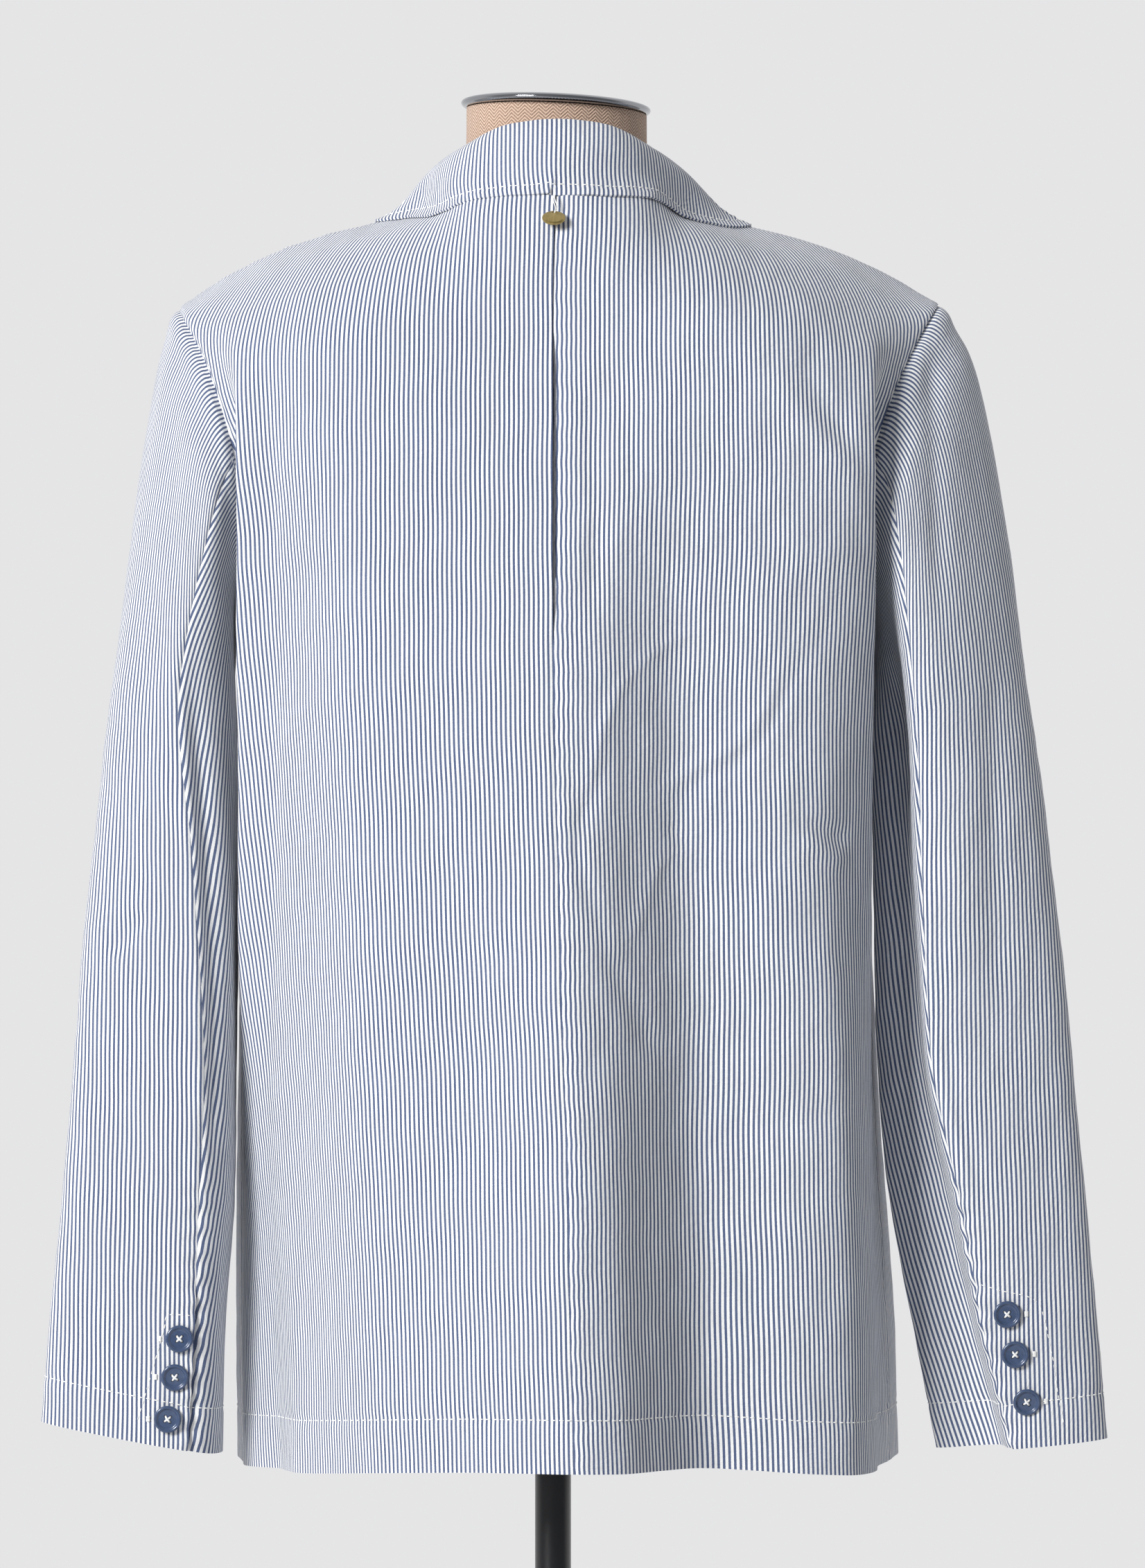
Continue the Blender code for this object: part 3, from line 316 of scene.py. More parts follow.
BACK_RIGHT = (
    (0.634, 0.623, (0.012, -0.150), (0.040, -0.140), (0.082, -0.094), (0.132, -0.090),
     (0.163, -0.078), (0.177, -0.048), (0.180, -0.020), (0.187, 0.010)),
    (0.700, 0.702, (0.010, -0.146), (0.036, -0.137), (0.080, -0.093), (0.130, -0.089),
     (0.162, -0.077), (0.176, -0.046), (0.178, -0.020), (0.185, 0.010)),
    (0.790, 0.790, (0.008, -0.139), (0.033, -0.131), (0.077, -0.091), (0.126, -0.088),
     (0.159, -0.078), (0.175, -0.042), (0.175, -0.019), (0.180, 0.008)),
    (0.880, 0.880, (0.005, -0.129), (0.030, -0.122), (0.074, -0.091), (0.122, -0.088),
     (0.154, -0.080), (0.175, -0.040), (0.172, -0.020), (0.176, 0.006)),
    (0.960, 0.960, (0.003, -0.121), (0.028, -0.115), (0.070, -0.090), (0.118, -0.088),
     (0.149, -0.080), (0.175, -0.046), (0.169, -0.024), (0.174, 0.003)),
    (1.040, 1.040, (0.001, -0.114), (0.030, -0.110), (0.066, -0.092), (0.114, -0.090),
     (0.149, -0.083), (0.175, -0.058), (0.166, -0.034), (0.172, 0.002)),
    (1.110, 1.110, (0.000, -0.109), (0.034, -0.105), (0.066, -0.096), (0.114, -0.095),
     (0.150, -0.088), (0.175, -0.070), (0.166, -0.044), (0.170, 0.006)),
    (1.150, 1.134, (0.000, -0.106), (0.040, -0.104), (0.072, -0.099), (0.118, -0.097),
     (0.152, -0.091), (0.175, -0.076), (0.165, -0.054), (0.169, -0.034)),
    (1.200, 1.180, (0.000, -0.101), (0.052, -0.101), (0.090, -0.099), (0.128, -0.096),
     (0.156, -0.090), (0.175, -0.081), (0.167, -0.066), (0.175, -0.057)),
    (1.262, 1.228, (0.000, -0.094), (0.062, -0.093), (0.108, -0.091), (0.138, -0.086),
     (0.159, -0.079), (0.175, -0.072), (0.183, -0.060), (0.193, -0.046)),
    (1.306, 1.250, (0.001, -0.083), (0.070, -0.067), (0.108, -0.057), (0.136, -0.051),
     (0.158, -0.045), (0.176, -0.039), (0.190, -0.033), (0.203, -0.027)),
)
print(len(BACK_LEFT), "levels a side")

# %% [markdown]
# ## Shoulders and armholes
#
# Panels that are sewn together must share their seam, so the shoulder seam and the
# armhole are lines of their own. The back, the front and the sleeve all end on them.

# %% Seam lines
# The shoulder seam, from the neck out to the tip: (x, y, z).
SHOULDER_LEFT = ((-0.070, -0.002, 1.3215), (-0.100, -0.001, 1.3120), (-0.129, 0.000, 1.3045),
                 (-0.152, 0.000, 1.2968), (-0.172, 0.001, 1.2880), (-0.191, 0.002, 1.2775),
                 (-0.209, 0.002, 1.2640))
SHOULDER_RIGHT = ((0.074, -0.002, 1.3215), (0.104, -0.001, 1.3120), (0.133, 0.000, 1.3045),
                  (0.157, 0.000, 1.2965), (0.177, 0.001, 1.2880), (0.196, 0.002, 1.2785),
                  (0.2145, 0.002, 1.2670))
# The armhole, a closed ring from the shoulder tip down the back, under the arm
# and up the front: (x, y, z). The underarm is its fifth point, number 4.
ARMHOLE_LEFT = ((-0.209, 0.002, 1.264), (-0.190, -0.046, 1.228), (-0.174, -0.057, 1.180),
                (-0.168, -0.034, 1.134), (-0.170, 0.006, 1.110), (-0.167, 0.042, 1.140),
                (-0.180, 0.044, 1.205))
ARMHOLE_RIGHT = ((0.2145, 0.002, 1.267), (0.193, -0.046, 1.228), (0.175, -0.057, 1.180),
                 (0.169, -0.034, 1.134), (0.170, 0.006, 1.110), (0.168, 0.042, 1.140),
                 (0.183, 0.044, 1.205))
SIDES = ("left", "right")
SHOULDERS = {"left": SHOULDER_LEFT, "right": SHOULDER_RIGHT}
NECK_MIDDLE = (0.002, -0.067, 1.3325)
UNDERARM = 4
RING = len(ARMHOLE_LEFT)
SEAM_STEPS = 2          # grid steps between two named points of the shoulder and the back
# Where on that ring each row of the tables above the underarm meets the armhole.
BACK_ON_RING = (4, 3, 2, 1, 0.45, 0)
FRONT_ON_RING = (4, 5, 6, 6.55, 7)
STEPS = 3               # grid steps between two named points of the armhole
LOW_STEPS = 13          # grid steps from the hem up to the underarm
SLEEVE_STEPS = 15       # grid steps from the armhole down to the cuff
print("armhole named by", RING, "points")

# %% [markdown]
# ## The fronts
#
# The photograph shows the back only. The fronts are cut plainly, with the wearer's
# right lapped over the left, and they meet the back at the side seam. A row has its
# height at the side and at the front edge, then its points as (x, y).

# %% The fronts' levels
FRONT_LEFT = (
    (0.622, 0.630, (-0.176, 0.046), (-0.130, 0.116), (-0.062, 0.136), (0.018, 0.1385)),
    (0.702, 0.702, (-0.177, 0.047), (-0.130, 0.117), (-0.062, 0.136), (0.018, 0.1380)),
    (0.790, 0.790, (-0.176, 0.048), (-0.130, 0.118), (-0.062, 0.135), (0.018, 0.1370)),
    (0.880, 0.880, (-0.175, 0.048), (-0.129, 0.119), (-0.062, 0.135), (0.018, 0.1365)),
    (0.960, 0.960, (-0.174, 0.050), (-0.128, 0.121), (-0.062, 0.136), (0.016, 0.1360)),
    (1.040, 1.040, (-0.171, 0.053), (-0.125, 0.123), (-0.062, 0.136), (0.003, 0.1345)),
    (1.110, 1.110, (-0.166, 0.050), (-0.121, 0.112), (-0.066, 0.126), (-0.014, 0.1270)),
    (1.140, 1.176, (-0.149, 0.072), (-0.115, 0.094), (-0.073, 0.106), (-0.032, 0.1100)),
    (1.205, 1.240, (-0.160, 0.060), (-0.126, 0.072), (-0.088, 0.079), (-0.048, 0.0780)),
    (1.245, 1.288, (-0.172, 0.036), (-0.141, 0.043), (-0.102, 0.045), (-0.061, 0.0400)),
)
FRONT_RIGHT = (
    (0.623, 0.628, (0.193, 0.056), (0.138, 0.120), (0.062, 0.140), (-0.018, 0.1420)),
    (0.702, 0.702, (0.190, 0.055), (0.136, 0.120), (0.062, 0.139), (-0.018, 0.1415)),
    (0.790, 0.790, (0.184, 0.052), (0.133, 0.120), (0.062, 0.138), (-0.018, 0.1405)),
    (0.880, 0.880, (0.178, 0.050), (0.130, 0.120), (0.062, 0.137), (-0.018, 0.1400)),
    (0.960, 0.960, (0.176, 0.050), (0.128, 0.121), (0.062, 0.137), (-0.016, 0.1395)),
    (1.040, 1.040, (0.172, 0.053), (0.125, 0.123), (0.062, 0.137), (-0.002, 0.1375)),
    (1.110, 1.110, (0.166, 0.050), (0.121, 0.112), (0.066, 0.127), (0.016, 0.1285)),
    (1.140, 1.176, (0.150, 0.072), (0.116, 0.094), (0.074, 0.106), (0.034, 0.1100)),
    (1.205, 1.240, (0.163, 0.060), (0.129, 0.072), (0.091, 0.079), (0.051, 0.0780)),
    (1.245, 1.288, (0.175, 0.036), (0.145, 0.043), (0.106, 0.045), (0.065, 0.0400)),
)
print(len(FRONT_LEFT), "levels a side")

# %% [markdown]
# ## The sleeves
#
# A tailored sleeve has an upper piece and a narrower under piece. It hangs from the
# armhole as a tube that the back seam folds flat, so it has a crease and a soft front.

# %% The sleeves' levels
SLEEVE_LEFT = (
    (1.060, 1.030, (-0.242, -0.026), (-0.222, -0.054), (-0.204, -0.062), (-0.1755, 0.008), (-0.189, 0.054)),
    (0.990, 0.970, (-0.2495, -0.034), (-0.226, -0.057), (-0.198, -0.062), (-0.1755, 0.006), (-0.196, 0.056)),
    (0.920, 0.905, (-0.2565, -0.038), (-0.229, -0.057), (-0.193, -0.060), (-0.1760, 0.004), (-0.203, 0.050)),
    (0.850, 0.838, (-0.2620, -0.040), (-0.232, -0.056), (-0.190, -0.058), (-0.1770, 0.002), (-0.207, 0.043)),
    (0.780, 0.770, (-0.2678, -0.040), (-0.236, -0.055), (-0.193, -0.055), (-0.1785, 0.000), (-0.212, 0.036)),
    (0.716, 0.704, (-0.2745, -0.040), (-0.240, -0.053), (-0.196, -0.052), (-0.1835, -0.002), (-0.217, 0.030)),
    (0.650, 0.632, (-0.2808, -0.039), (-0.244, -0.051), (-0.200, -0.048), (-0.1850, -0.004), (-0.222, 0.025)),
)
SLEEVE_RIGHT = (
    (1.060, 1.030, (0.2610, -0.026), (0.236, -0.054), (0.197, -0.062), (0.1770, 0.008), (0.191, 0.054)),
    (0.990, 0.970, (0.2700, -0.034), (0.244, -0.057), (0.200, -0.062), (0.1775, 0.006), (0.202, 0.056)),
    (0.920, 0.905, (0.2777, -0.038), (0.249, -0.057), (0.203, -0.060), (0.1785, 0.004), (0.211, 0.050)),
    (0.850, 0.838, (0.2848, -0.040), (0.255, -0.056), (0.208, -0.057), (0.1810, 0.002), (0.217, 0.043)),
    (0.780, 0.770, (0.2915, -0.040), (0.262, -0.055), (0.222, -0.054), (0.1870, 0.000), (0.226, 0.036)),
    (0.716, 0.704, (0.2972, -0.040), (0.269, -0.053), (0.234, -0.051), (0.1995, -0.002), (0.236, 0.030)),
    (0.641, 0.632, (0.3040, -0.039), (0.277, -0.050), (0.252, -0.046), (0.2130, -0.004), (0.248, 0.025)),
)
# The sleeve head: how far the first row below the armhole stands off it, for each
# point of the ring: (out in x, in y, down in z).
HEAD_LEFT = ((0.0095, -0.014, 0.034), (0.0135, -0.007, 0.032), (0.0100, -0.008, 0.030),
             (0.0070, -0.004, 0.018), (0.0080, 0.000, 0.016), (0.0080, 0.008, 0.024),
             (0.0150, 0.011, 0.034))
HEAD_RIGHT = ((0.0175, -0.014, 0.034), (0.0190, -0.007, 0.032), (0.0110, -0.008, 0.030),
              (0.0070, -0.004, 0.018), (0.0080, 0.000, 0.016), (0.0080, 0.008, 0.024),
              (0.0200, 0.011, 0.034))
BACK_SEAM = 2           # the ring's point where the sleeve's back seam starts
FRONT_SEAM = 5          # and where its front seam starts
print(len(SLEEVE_LEFT), "levels a sleeve")


# %% [markdown]
# ## From levels to a coarse grid
#
# First we work out the same coarse grid as the CAD model, so that the dressed cloth
# lies just where its solid is. The functions return points only, with no mesh yet.


# %% Coarse grids of the panels
def level(row, side):
    """A table row's named points as (x, y, z), with the height sloping to the side."""
    middle_z, side_z, *points = row
    reach = abs(points[-1][0])
    return [(x, y, middle_z + (side_z - middle_z) * min(1.0, abs(x) / reach) ** 1.5)
            for x, y in points][::side]


def even_steps(named_points, steps):
    """Places that divide each stretch between named points into even steps."""
    return np.linspace(0, named_points - 1, (named_points - 1) * steps + 1)


def row_places(on_ring, low_rows):
    """Places of a panel's rows: even below the underarm, on the armhole's steps above it."""
    low = np.linspace(0, low_rows, LOW_STEPS + 1)
    count = int(round(abs(on_ring[-1] - on_ring[0]) * STEPS))
    ring = np.linspace(on_ring[0], on_ring[-1], count + 1)
    order = np.argsort(on_ring)
    high = low_rows + np.interp(ring, np.array(on_ring, float)[order], np.arange(len(on_ring))[order])
    return np.concatenate([low, high[1:]]), ring


def neckline(steps):
    """The back neckline from left to right: a quarter of an ellipse a side."""
    middle = np.array(NECK_MIDDLE)
    halves = []
    for end, t in ((SHOULDER_LEFT[0], np.linspace(1, 0, steps + 1)),
                   (SHOULDER_RIGHT[0], np.linspace(0, 1, steps + 1)[1:])):
        a = t * math.pi / 2
        halves.append(np.stack([middle[0] + (end[0] - middle[0]) * np.sin(a),
                                end[1] + (middle[1] - end[1]) * np.cos(a),
                                middle[2] + (end[2] - middle[2]) * t**2], axis=1))
    return np.concatenate(halves)


def back_grid():
    """The whole back, from the left side seam to the right."""
    rows = [level(left, -1) + level(right, 1)[1:] for left, right in zip(BACK_LEFT, BACK_RIGHT)]
    rows.append([*SHOULDER_LEFT[::-1], NECK_MIDDLE, *SHOULDER_RIGHT])
    places, ring = row_places(BACK_ON_RING, len(BACK_LEFT) - len(BACK_ON_RING) + 1)
    grid = surface(rows, places, even_steps(len(rows[0]), SEAM_STEPS))
    along = even_steps(len(SHOULDER_LEFT), SEAM_STEPS)
    top = np.concatenate([through(SHOULDER_LEFT, along)[::-1], neckline(SEAM_STEPS)[1:-1],
                          through(SHOULDER_RIGHT, along)])
    pull(grid[::-1], top, 3)
    for edge, armhole in ((0, ARMHOLE_LEFT), (-1, ARMHOLE_RIGHT)):
        column = grid[:, edge].copy()
        column[LOW_STEPS:] = round_through(armhole, ring)
        pull(grid.transpose(1, 0, 2)[::-1 if edge else 1], column, 4)
    return grid


def front_grid(table, side_column, armhole, shoulder):
    """A front, from the side seam to the front edge and from the hem to the shoulder. Each
    row's height changes evenly from point to point."""
    places, ring = row_places(FRONT_ON_RING, len(table) - len(FRONT_ON_RING) + 1)
    side = np.concatenate([side_column[:LOW_STEPS], round_through(armhole, ring)])
    at_table = np.stack([np.interp(range(len(table)), places, side[:, k]) for k in range(3)], axis=1)
    rows = []
    for (side_z, edge_z, *points), start in zip(table, at_table):
        rows.append([tuple(start)] + [(x, y, side_z + (edge_z - side_z) * (k + 1) / len(points))
                                      for k, (x, y) in enumerate(points)])
    seam = through(shoulder, even_steps(len(shoulder), SEAM_STEPS))[::-1]
    rows.append([tuple(p) for p in seam[:: (len(seam) - 1) // 4]])
    grid = surface(rows, places, np.linspace(0, len(rows[0]) - 1, len(seam)))
    pull(grid.transpose(1, 0, 2), side, 4)
    pull(grid[::-1], seam, 4)
    return grid


# Two points of a sleeve's level lie between two named ones, by a share in x and in y.
TURN_LEFT = (0.90, 0.25)    # from the crease to the inner point: the left sleeve folds far in
TURN_RIGHT = (0.15, 0.65)
CHEST = (0.55, 0.06)        # from the front point to the outer one


def between(one, other, shares):
    """The point that lies the shares of the way from one to the other, in x and in y."""
    return tuple((1 - share) * a + share * b for a, b, share in zip(one, other, shares))


def sleeve_ring(row):
    """The seven points of a sleeve's level, with two worked out from the five named ones."""
    outer_z, inner_z, outer, back, crease, inner, front = row
    turn = between(crease, inner, TURN_LEFT if outer[0] < 0 else TURN_RIGHT)
    chest = between(front, outer, CHEST)
    span = inner[0] - outer[0]
    return [(x, y, outer_z + (inner_z - outer_z) * (x - outer[0]) / span)
            for x, y in (outer, back, crease, turn, inner, front, chest)]


def sleeve_grid(table, armhole, head_shape):
    """A whole sleeve as a closed grid: rows from the armhole to the cuff."""
    side = math.copysign(1, armhole[0][0])
    head = [(x + side * out, y + back, z - down) for (x, y, z), (out, back, down) in zip(armhole, head_shape)]
    rings = np.array([armhole, head] + [sleeve_ring(row) for row in table])
    across = round_through(rings.transpose(1, 0, 2), np.arange(RING * STEPS + 1) / STEPS)
    places = np.concatenate([np.linspace(0, 1, 3), np.linspace(1, len(rings) - 1, SLEEVE_STEPS)[1:]])
    return through(across.transpose(1, 0, 2), places)


coarse_back = back_grid()
coarse_middle = coarse_back.shape[1] // 2
coarse_sleeves = {"left": sleeve_grid(SLEEVE_LEFT, ARMHOLE_LEFT, HEAD_LEFT),
                  "right": sleeve_grid(SLEEVE_RIGHT, ARMHOLE_RIGHT, HEAD_RIGHT)}
coarse_fronts = {"left": front_grid(FRONT_LEFT, coarse_back[:, 0], ARMHOLE_LEFT, SHOULDER_LEFT),
                 "right": front_grid(FRONT_RIGHT, coarse_back[:, -1], ARMHOLE_RIGHT, SHOULDER_RIGHT)}
print("coarse back", coarse_back.shape, "sleeve", coarse_sleeves["left"].shape,
      "front", coarse_fronts["left"].shape)

# %% [markdown]
# ## From coarse to fine
#
# Cloth needs a fine mesh, or its soft creases turn into facets. Each coarse cell is
# split on smooth curves. Then each seam's line is worked out once, and both panels
# that meet there are pulled onto it, so that no gap opens when we bend them.

# %% Fine grids that share their seams
UP = 12                 # fine rows in a coarse cell
ACROSS = 8              # fine columns in a coarse cell

fine_back = refine(coarse_back, UP, ACROSS)
back_middle = coarse_middle * ACROSS
fine_sleeves = {side: refine(grid, UP, UP, closed=True) for side, grid in coarse_sleeves.items()}
fine_fronts = {side: refine(grid, UP, ACROSS) for side, grid in coarse_fronts.items()}
low_rows = LOW_STEPS * UP
under = UNDERARM * STEPS * UP
for side, edge in (("left", 0), ("right", -1)):
    low_side = through(coarse_back[:LOW_STEPS + 1, edge], even_steps(LOW_STEPS + 1, UP))
    armhole_line = fine_sleeves[side][0]
    named = through(SHOULDERS[side], even_steps(len(SHOULDERS[side]), SEAM_STEPS))
    shoulder_line = through(named, even_steps(len(named), ACROSS))
    back_view = fine_back.transpose(1, 0, 2)[::-1 if edge else 1]
    pull(back_view, np.concatenate([low_side, armhole_line[under - 1::-1]]), 3 * ACROSS)
    pull(back_view.transpose(1, 0, 2)[::-1, :len(shoulder_line)], shoulder_line[::-1], 2 * UP)
    front = fine_fronts[side]
    pull(front.transpose(1, 0, 2), np.concatenate([low_side, armhole_line[under + 1:]]), 3 * ACROSS)
    pull(front[::-1], shoulder_line[::-1], 2 * UP)
print("fine back", fine_back.shape, "sleeve", fine_sleeves["left"].shape, "front", fine_fronts["left"].shape)


# %% [markdown]
# ## Which way is out
#
# A crease pushes the cloth along its normal. Where panels meet, they must be pushed the
# same way, so the normals of all points at the same place are added up and shared.


# %% Normals, shared at the seams
def grid_normals(grid, centre, closed=False):
    """Unit normals from the cross product of the grid's two slopes, turned away from the
    upright line through the centre."""
    wide = np.concatenate([grid[:, -2:-1], grid, grid[:, 1:2]], axis=1) if closed else grid
    normal = np.cross(np.gradient(wide, axis=1), np.gradient(wide, axis=0))
    normal = normal[:, 1:-1] if closed else normal
    normal /= np.maximum(np.linalg.norm(normal, axis=2, keepdims=True), 1e-12)
    away = (grid - np.array([*centre, 0])) * (1, 1, 0)
    return normal if (normal * away).sum() > 0 else -normal


def halves(grid):
    """The left and the right half of the back's grid, by panel name."""
    return {"back_left": grid[:, :back_middle + 1].copy(), "back_right": grid[:, back_middle:].copy()}


panels = halves(fine_back)
normals = halves(grid_normals(fine_back, (0, 0)))
for side in SIDES:
    panels[f"front_{side}"] = fine_fronts[side]
    normals[f"front_{side}"] = grid_normals(fine_fronts[side], (0, 0))
    tube = fine_sleeves[side]
    tube_normal = grid_normals(tube, tube[-1].mean(axis=0)[:2], closed=True)
    back_at, front_at = BACK_SEAM * STEPS * UP, FRONT_SEAM * STEPS * UP
    upper_columns = np.r_[front_at:RING * STEPS * UP, 0:back_at + 1]
    under_columns = np.arange(back_at, front_at + 1)
    for name, columns in ((f"upper_sleeve_{side}", upper_columns), (f"under_sleeve_{side}", under_columns)):
        panels[name] = tube[:, columns]
        normals[name] = tube_normal[:, columns]

every_point = np.concatenate([grid.reshape(-1, 3) for grid in panels.values()])
every_normal = np.concatenate([normals[name].reshape(-1, 3) for name in panels])
_, place = np.unique(np.round(every_point, 6), axis=0, return_inverse=True)
place = place.reshape(-1)
total = np.stack([np.bincount(place, every_normal[:, k]) for k in range(3)], axis=1)[place]
total /= np.maximum(np.linalg.norm(total, axis=1, keepdims=True), 1e-9)
start = 0
for name, grid in panels.items():
    count = grid.shape[0] * grid.shape[1]
    normals[name] = total[start:start + count].reshape(grid.shape)
    start += count
print(len(panels), "panels,", len(every_point), "points,", int(place.max()) + 1, "places")

# %% [markdown]
# ## The folds, placed one by one
#
# A fold is a soft ridge or trough along a curved line. Each row gives its height in
# millimetres, below zero for a trough, then its width, then its line as (x, z). They
# are read off the photograph one by one, because folds that come from noise alone
# never hang from the shoulder or pull at the waist as real ones do.

# %% The lines of the folds
FOLDS_BACK = (
    (2.0, 9.0, ((-0.1466, 1.1982), (-0.1473, 1.0863), (-0.1447, 0.9744), (-0.1436, 0.8551))),
    (-1.1, 5.0, ((0.0362, 1.0259), (0.0228, 0.9972), (0.0142, 0.9718), (0.0160, 0.9532),
     (0.0261, 0.9241), (0.0295, 0.9006))),
    (0.8, 3.0, ((0.1477, 1.0998), (0.1197, 1.0580), (0.1141, 1.0397), (0.1059, 1.0293),
     (0.0955, 1.0185), (0.0821, 1.0125), (0.0649, 0.9998), (0.0440, 0.9894))),
    (-0.8, 2.6, ((0.1514, 1.0863), (0.1276, 1.0528), (0.1194, 1.0323), (0.1097, 1.0200),
     (0.0977, 1.0099), (0.0798, 1.0013), (0.0623, 0.9886))),
    (0.7, 3.2, ((0.0888, 1.0860), (0.0608, 1.0748), (0.0414, 1.0580), (0.0272, 1.0300),
     (0.0190, 0.9849))),
    (0.8, 3.0, ((0.0634, 0.9651), (0.0559, 0.9532), (0.0481, 0.9312), (0.0384, 0.9095))),
    (-0.8, 3.0, ((0.0608, 0.9793), (0.0750, 0.9655))),
    (-1.2, 6.0, ((0.0246, 0.9178), (0.0440, 0.8786), (0.0582, 0.8506))),
    (-1.5, 7.0, ((0.1451, 1.2426), (0.1395, 1.2259), (0.1507, 1.1979), (0.1675, 1.1811))),
    (1.2, 8.0, ((0.1141, 1.2259), (0.1395, 1.1923), (0.1701, 1.1587))),
    (-0.8, 9.0, ((0.0384, 1.2259), (0.0216, 1.1979))),
    (-0.8, 8.0, ((0.0384, 1.2147), (0.0470, 1.1587))),
    (-1.4, 6.0, ((0.0190, 1.2250), (0.0225, 1.1900), (0.0240, 1.1500), (0.0230, 1.1100), (0.0190, 1.0850))),
    (-0.8, 7.0, ((0.0888, 0.8114), (0.1283, 0.8170), (0.1563, 0.8226))),
    (-1.5, 5.0, ((0.1350, 0.9819), (0.1499, 0.9744), (0.1634, 0.9685))),
    (1.2, 5.0, ((0.1313, 0.9707), (0.1481, 0.9625), (0.1619, 0.9558))),
    (0.9, 12.0, ((-0.0567, 0.9793), (-0.0175, 0.8954))),
    (0.9, 10.0, ((-0.0343, 0.9010), (-0.0007, 0.8730))),
)
FOLDS_SLEEVE_LEFT = (
    (-1.6, 6.0, ((-0.2086, 1.2295), (-0.2094, 1.1408), (-0.2086, 1.0589))),
    (1.5, 9.0, ((-0.1840, 1.2011), (-0.1840, 1.0589))),
    (1.8, 6.0, ((-0.2128, 1.2409), (-0.2080, 1.0874), (-0.1965, 0.9700), (-0.1900, 0.8700),
     (-0.1880, 0.7459))),
    (-4.5, 5.0, ((-0.1965, 1.0605), (-0.1880, 0.9500), (-0.1845, 0.8600), (-0.1850, 0.7743))),
    (-1.6, 6.0, ((-0.2211, 0.9323), (-0.2424, 0.9051))),
)
FOLDS_SLEEVE_RIGHT = (
    (-1.5, 5.0, ((0.1787, 1.2295), (0.1787, 1.1442))),
    (1.8, 7.0, ((0.1988, 1.2409), (0.1931, 1.1726), (0.1817, 1.1101))),
    (-2.0, 6.0, ((0.2075, 1.2579), (0.2094, 1.1711), (0.2113, 1.0874))),
    (-2.0, 8.0, ((0.1874, 1.0874), (0.1901, 0.9733), (0.1931, 0.9164), (0.1988, 0.8596))),
    (1.6, 5.0, ((0.2014, 0.9733), (0.2045, 0.8880), (0.2128, 0.8312), (0.2242, 0.7914),
     (0.2329, 0.7459))),
    (1.2, 10.0, ((0.2272, 1.0305), (0.2242, 0.9164))),
    (-1.6, 8.0, ((0.2412, 1.0874), (0.2420, 0.8596))),
)
FOLDS_FRONT = (
    (1.6, 9.0, ((0.150, 1.150), (0.118, 1.090), (0.096, 1.020), (0.090, 0.960))),
    (-2.0, 8.0, ((0.128, 1.160), (0.100, 1.080), (0.060, 1.010), (0.030, 0.975))),
    (1.4, 8.0, ((0.020, 0.960), (0.070, 0.985), (0.120, 1.000))),
    (-1.4, 9.0, ((0.040, 0.940), (0.080, 0.870), (0.105, 0.780))),
    (1.2, 12.0, ((0.060, 0.860), (0.085, 0.760), (0.095, 0.660))),
    (-1.0, 7.0, ((0.030, 0.865), (0.075, 0.845), (0.120, 0.850))),
    (1.8, 8.0, ((-0.150, 1.150), (-0.120, 1.080), (-0.100, 1.000), (-0.096, 0.930))),
    (-1.8, 9.0, ((-0.120, 1.140), (-0.090, 1.060), (-0.050, 0.990))),
    (1.2, 9.0, ((-0.030, 0.950), (-0.080, 0.965), (-0.130, 0.990))),
    (-1.5, 10.0, ((-0.060, 0.920), (-0.090, 0.830), (-0.100, 0.740))),
    (1.0, 12.0, ((-0.040, 0.800), (-0.060, 0.700), (-0.066, 0.650))),
)


FOLD_POINTS = 22        # points along each fold's line
FOLD_TAPER = 0.25       # the share of its length over which a fold dies away
FOLD_END = 0.12         # and the share of its height that is left at its very end


def fold_height(x, z, folds):
    """The height of the folds at (x, z). Each is its height times a bell over the distance
    to its line, and it tapers off over the last quarter at both its ends."""
    total = np.zeros_like(x)
    spot = np.stack([x, z], axis=-1).reshape(-1, 1, 2)
    for height, width, line in folds:
        line = through(line, np.linspace(0, len(line) - 1, FOLD_POINTS))
        run = np.diff(line, axis=0)
        t = np.clip(((spot - line[:-1]) * run).sum(axis=2) / (run**2).sum(axis=1), 0, 1)
        away = np.linalg.norm(spot - line[:-1] - t[..., None] * run, axis=2)
        nearest = away.argmin(axis=1)[:, None]
        along = (nearest + np.take_along_axis(t, nearest, 1)) / len(run)
        taper = soft_step(np.minimum(along, 1 - along) / FOLD_TAPER)
        shape = bell(np.take_along_axis(away, nearest, 1), width / 1000) * (FOLD_END + (1 - FOLD_END) * taper)
        total += (height / 1000 * shape).reshape(x.shape)
    return total


chance = np.random.default_rng(11)


def waves(count, shortest, longest, upright):
    """Directions, phases and strengths of waves between two lengths in metres. Upright is
    how much less they change with height than across."""
    way = chance.normal(size=(count, 3)) * (1, 1, upright)
    way /= np.linalg.norm(way, axis=1, keepdims=True)
    length = chance.uniform(shortest, longest, count)
    return way * (2 * math.pi / length)[:, None], chance.uniform(0, 2 * math.pi, count), length / longest


# Broad soft waves, and a fine crumple: each with its strength in metres.
RUMPLE = ((0.00050, waves(16, 0.045, 0.120, 0.55)), (0.00011, waves(22, 0.012, 0.026, 0.9)))
RUMPLE_GAIN = 1.4       # brings the sum of many waves back to its named strength


def rumple(points):
    """The sum of many sine waves through space, so that it runs on over the seams."""
    total = np.zeros(points.shape[:2])
    for strength, (way, phase, share) in RUMPLE:
        wave = np.sin(points @ way.T + phase) * share
        total += strength * wave.sum(axis=2) / math.sqrt(len(phase)) * RUMPLE_GAIN
    return total


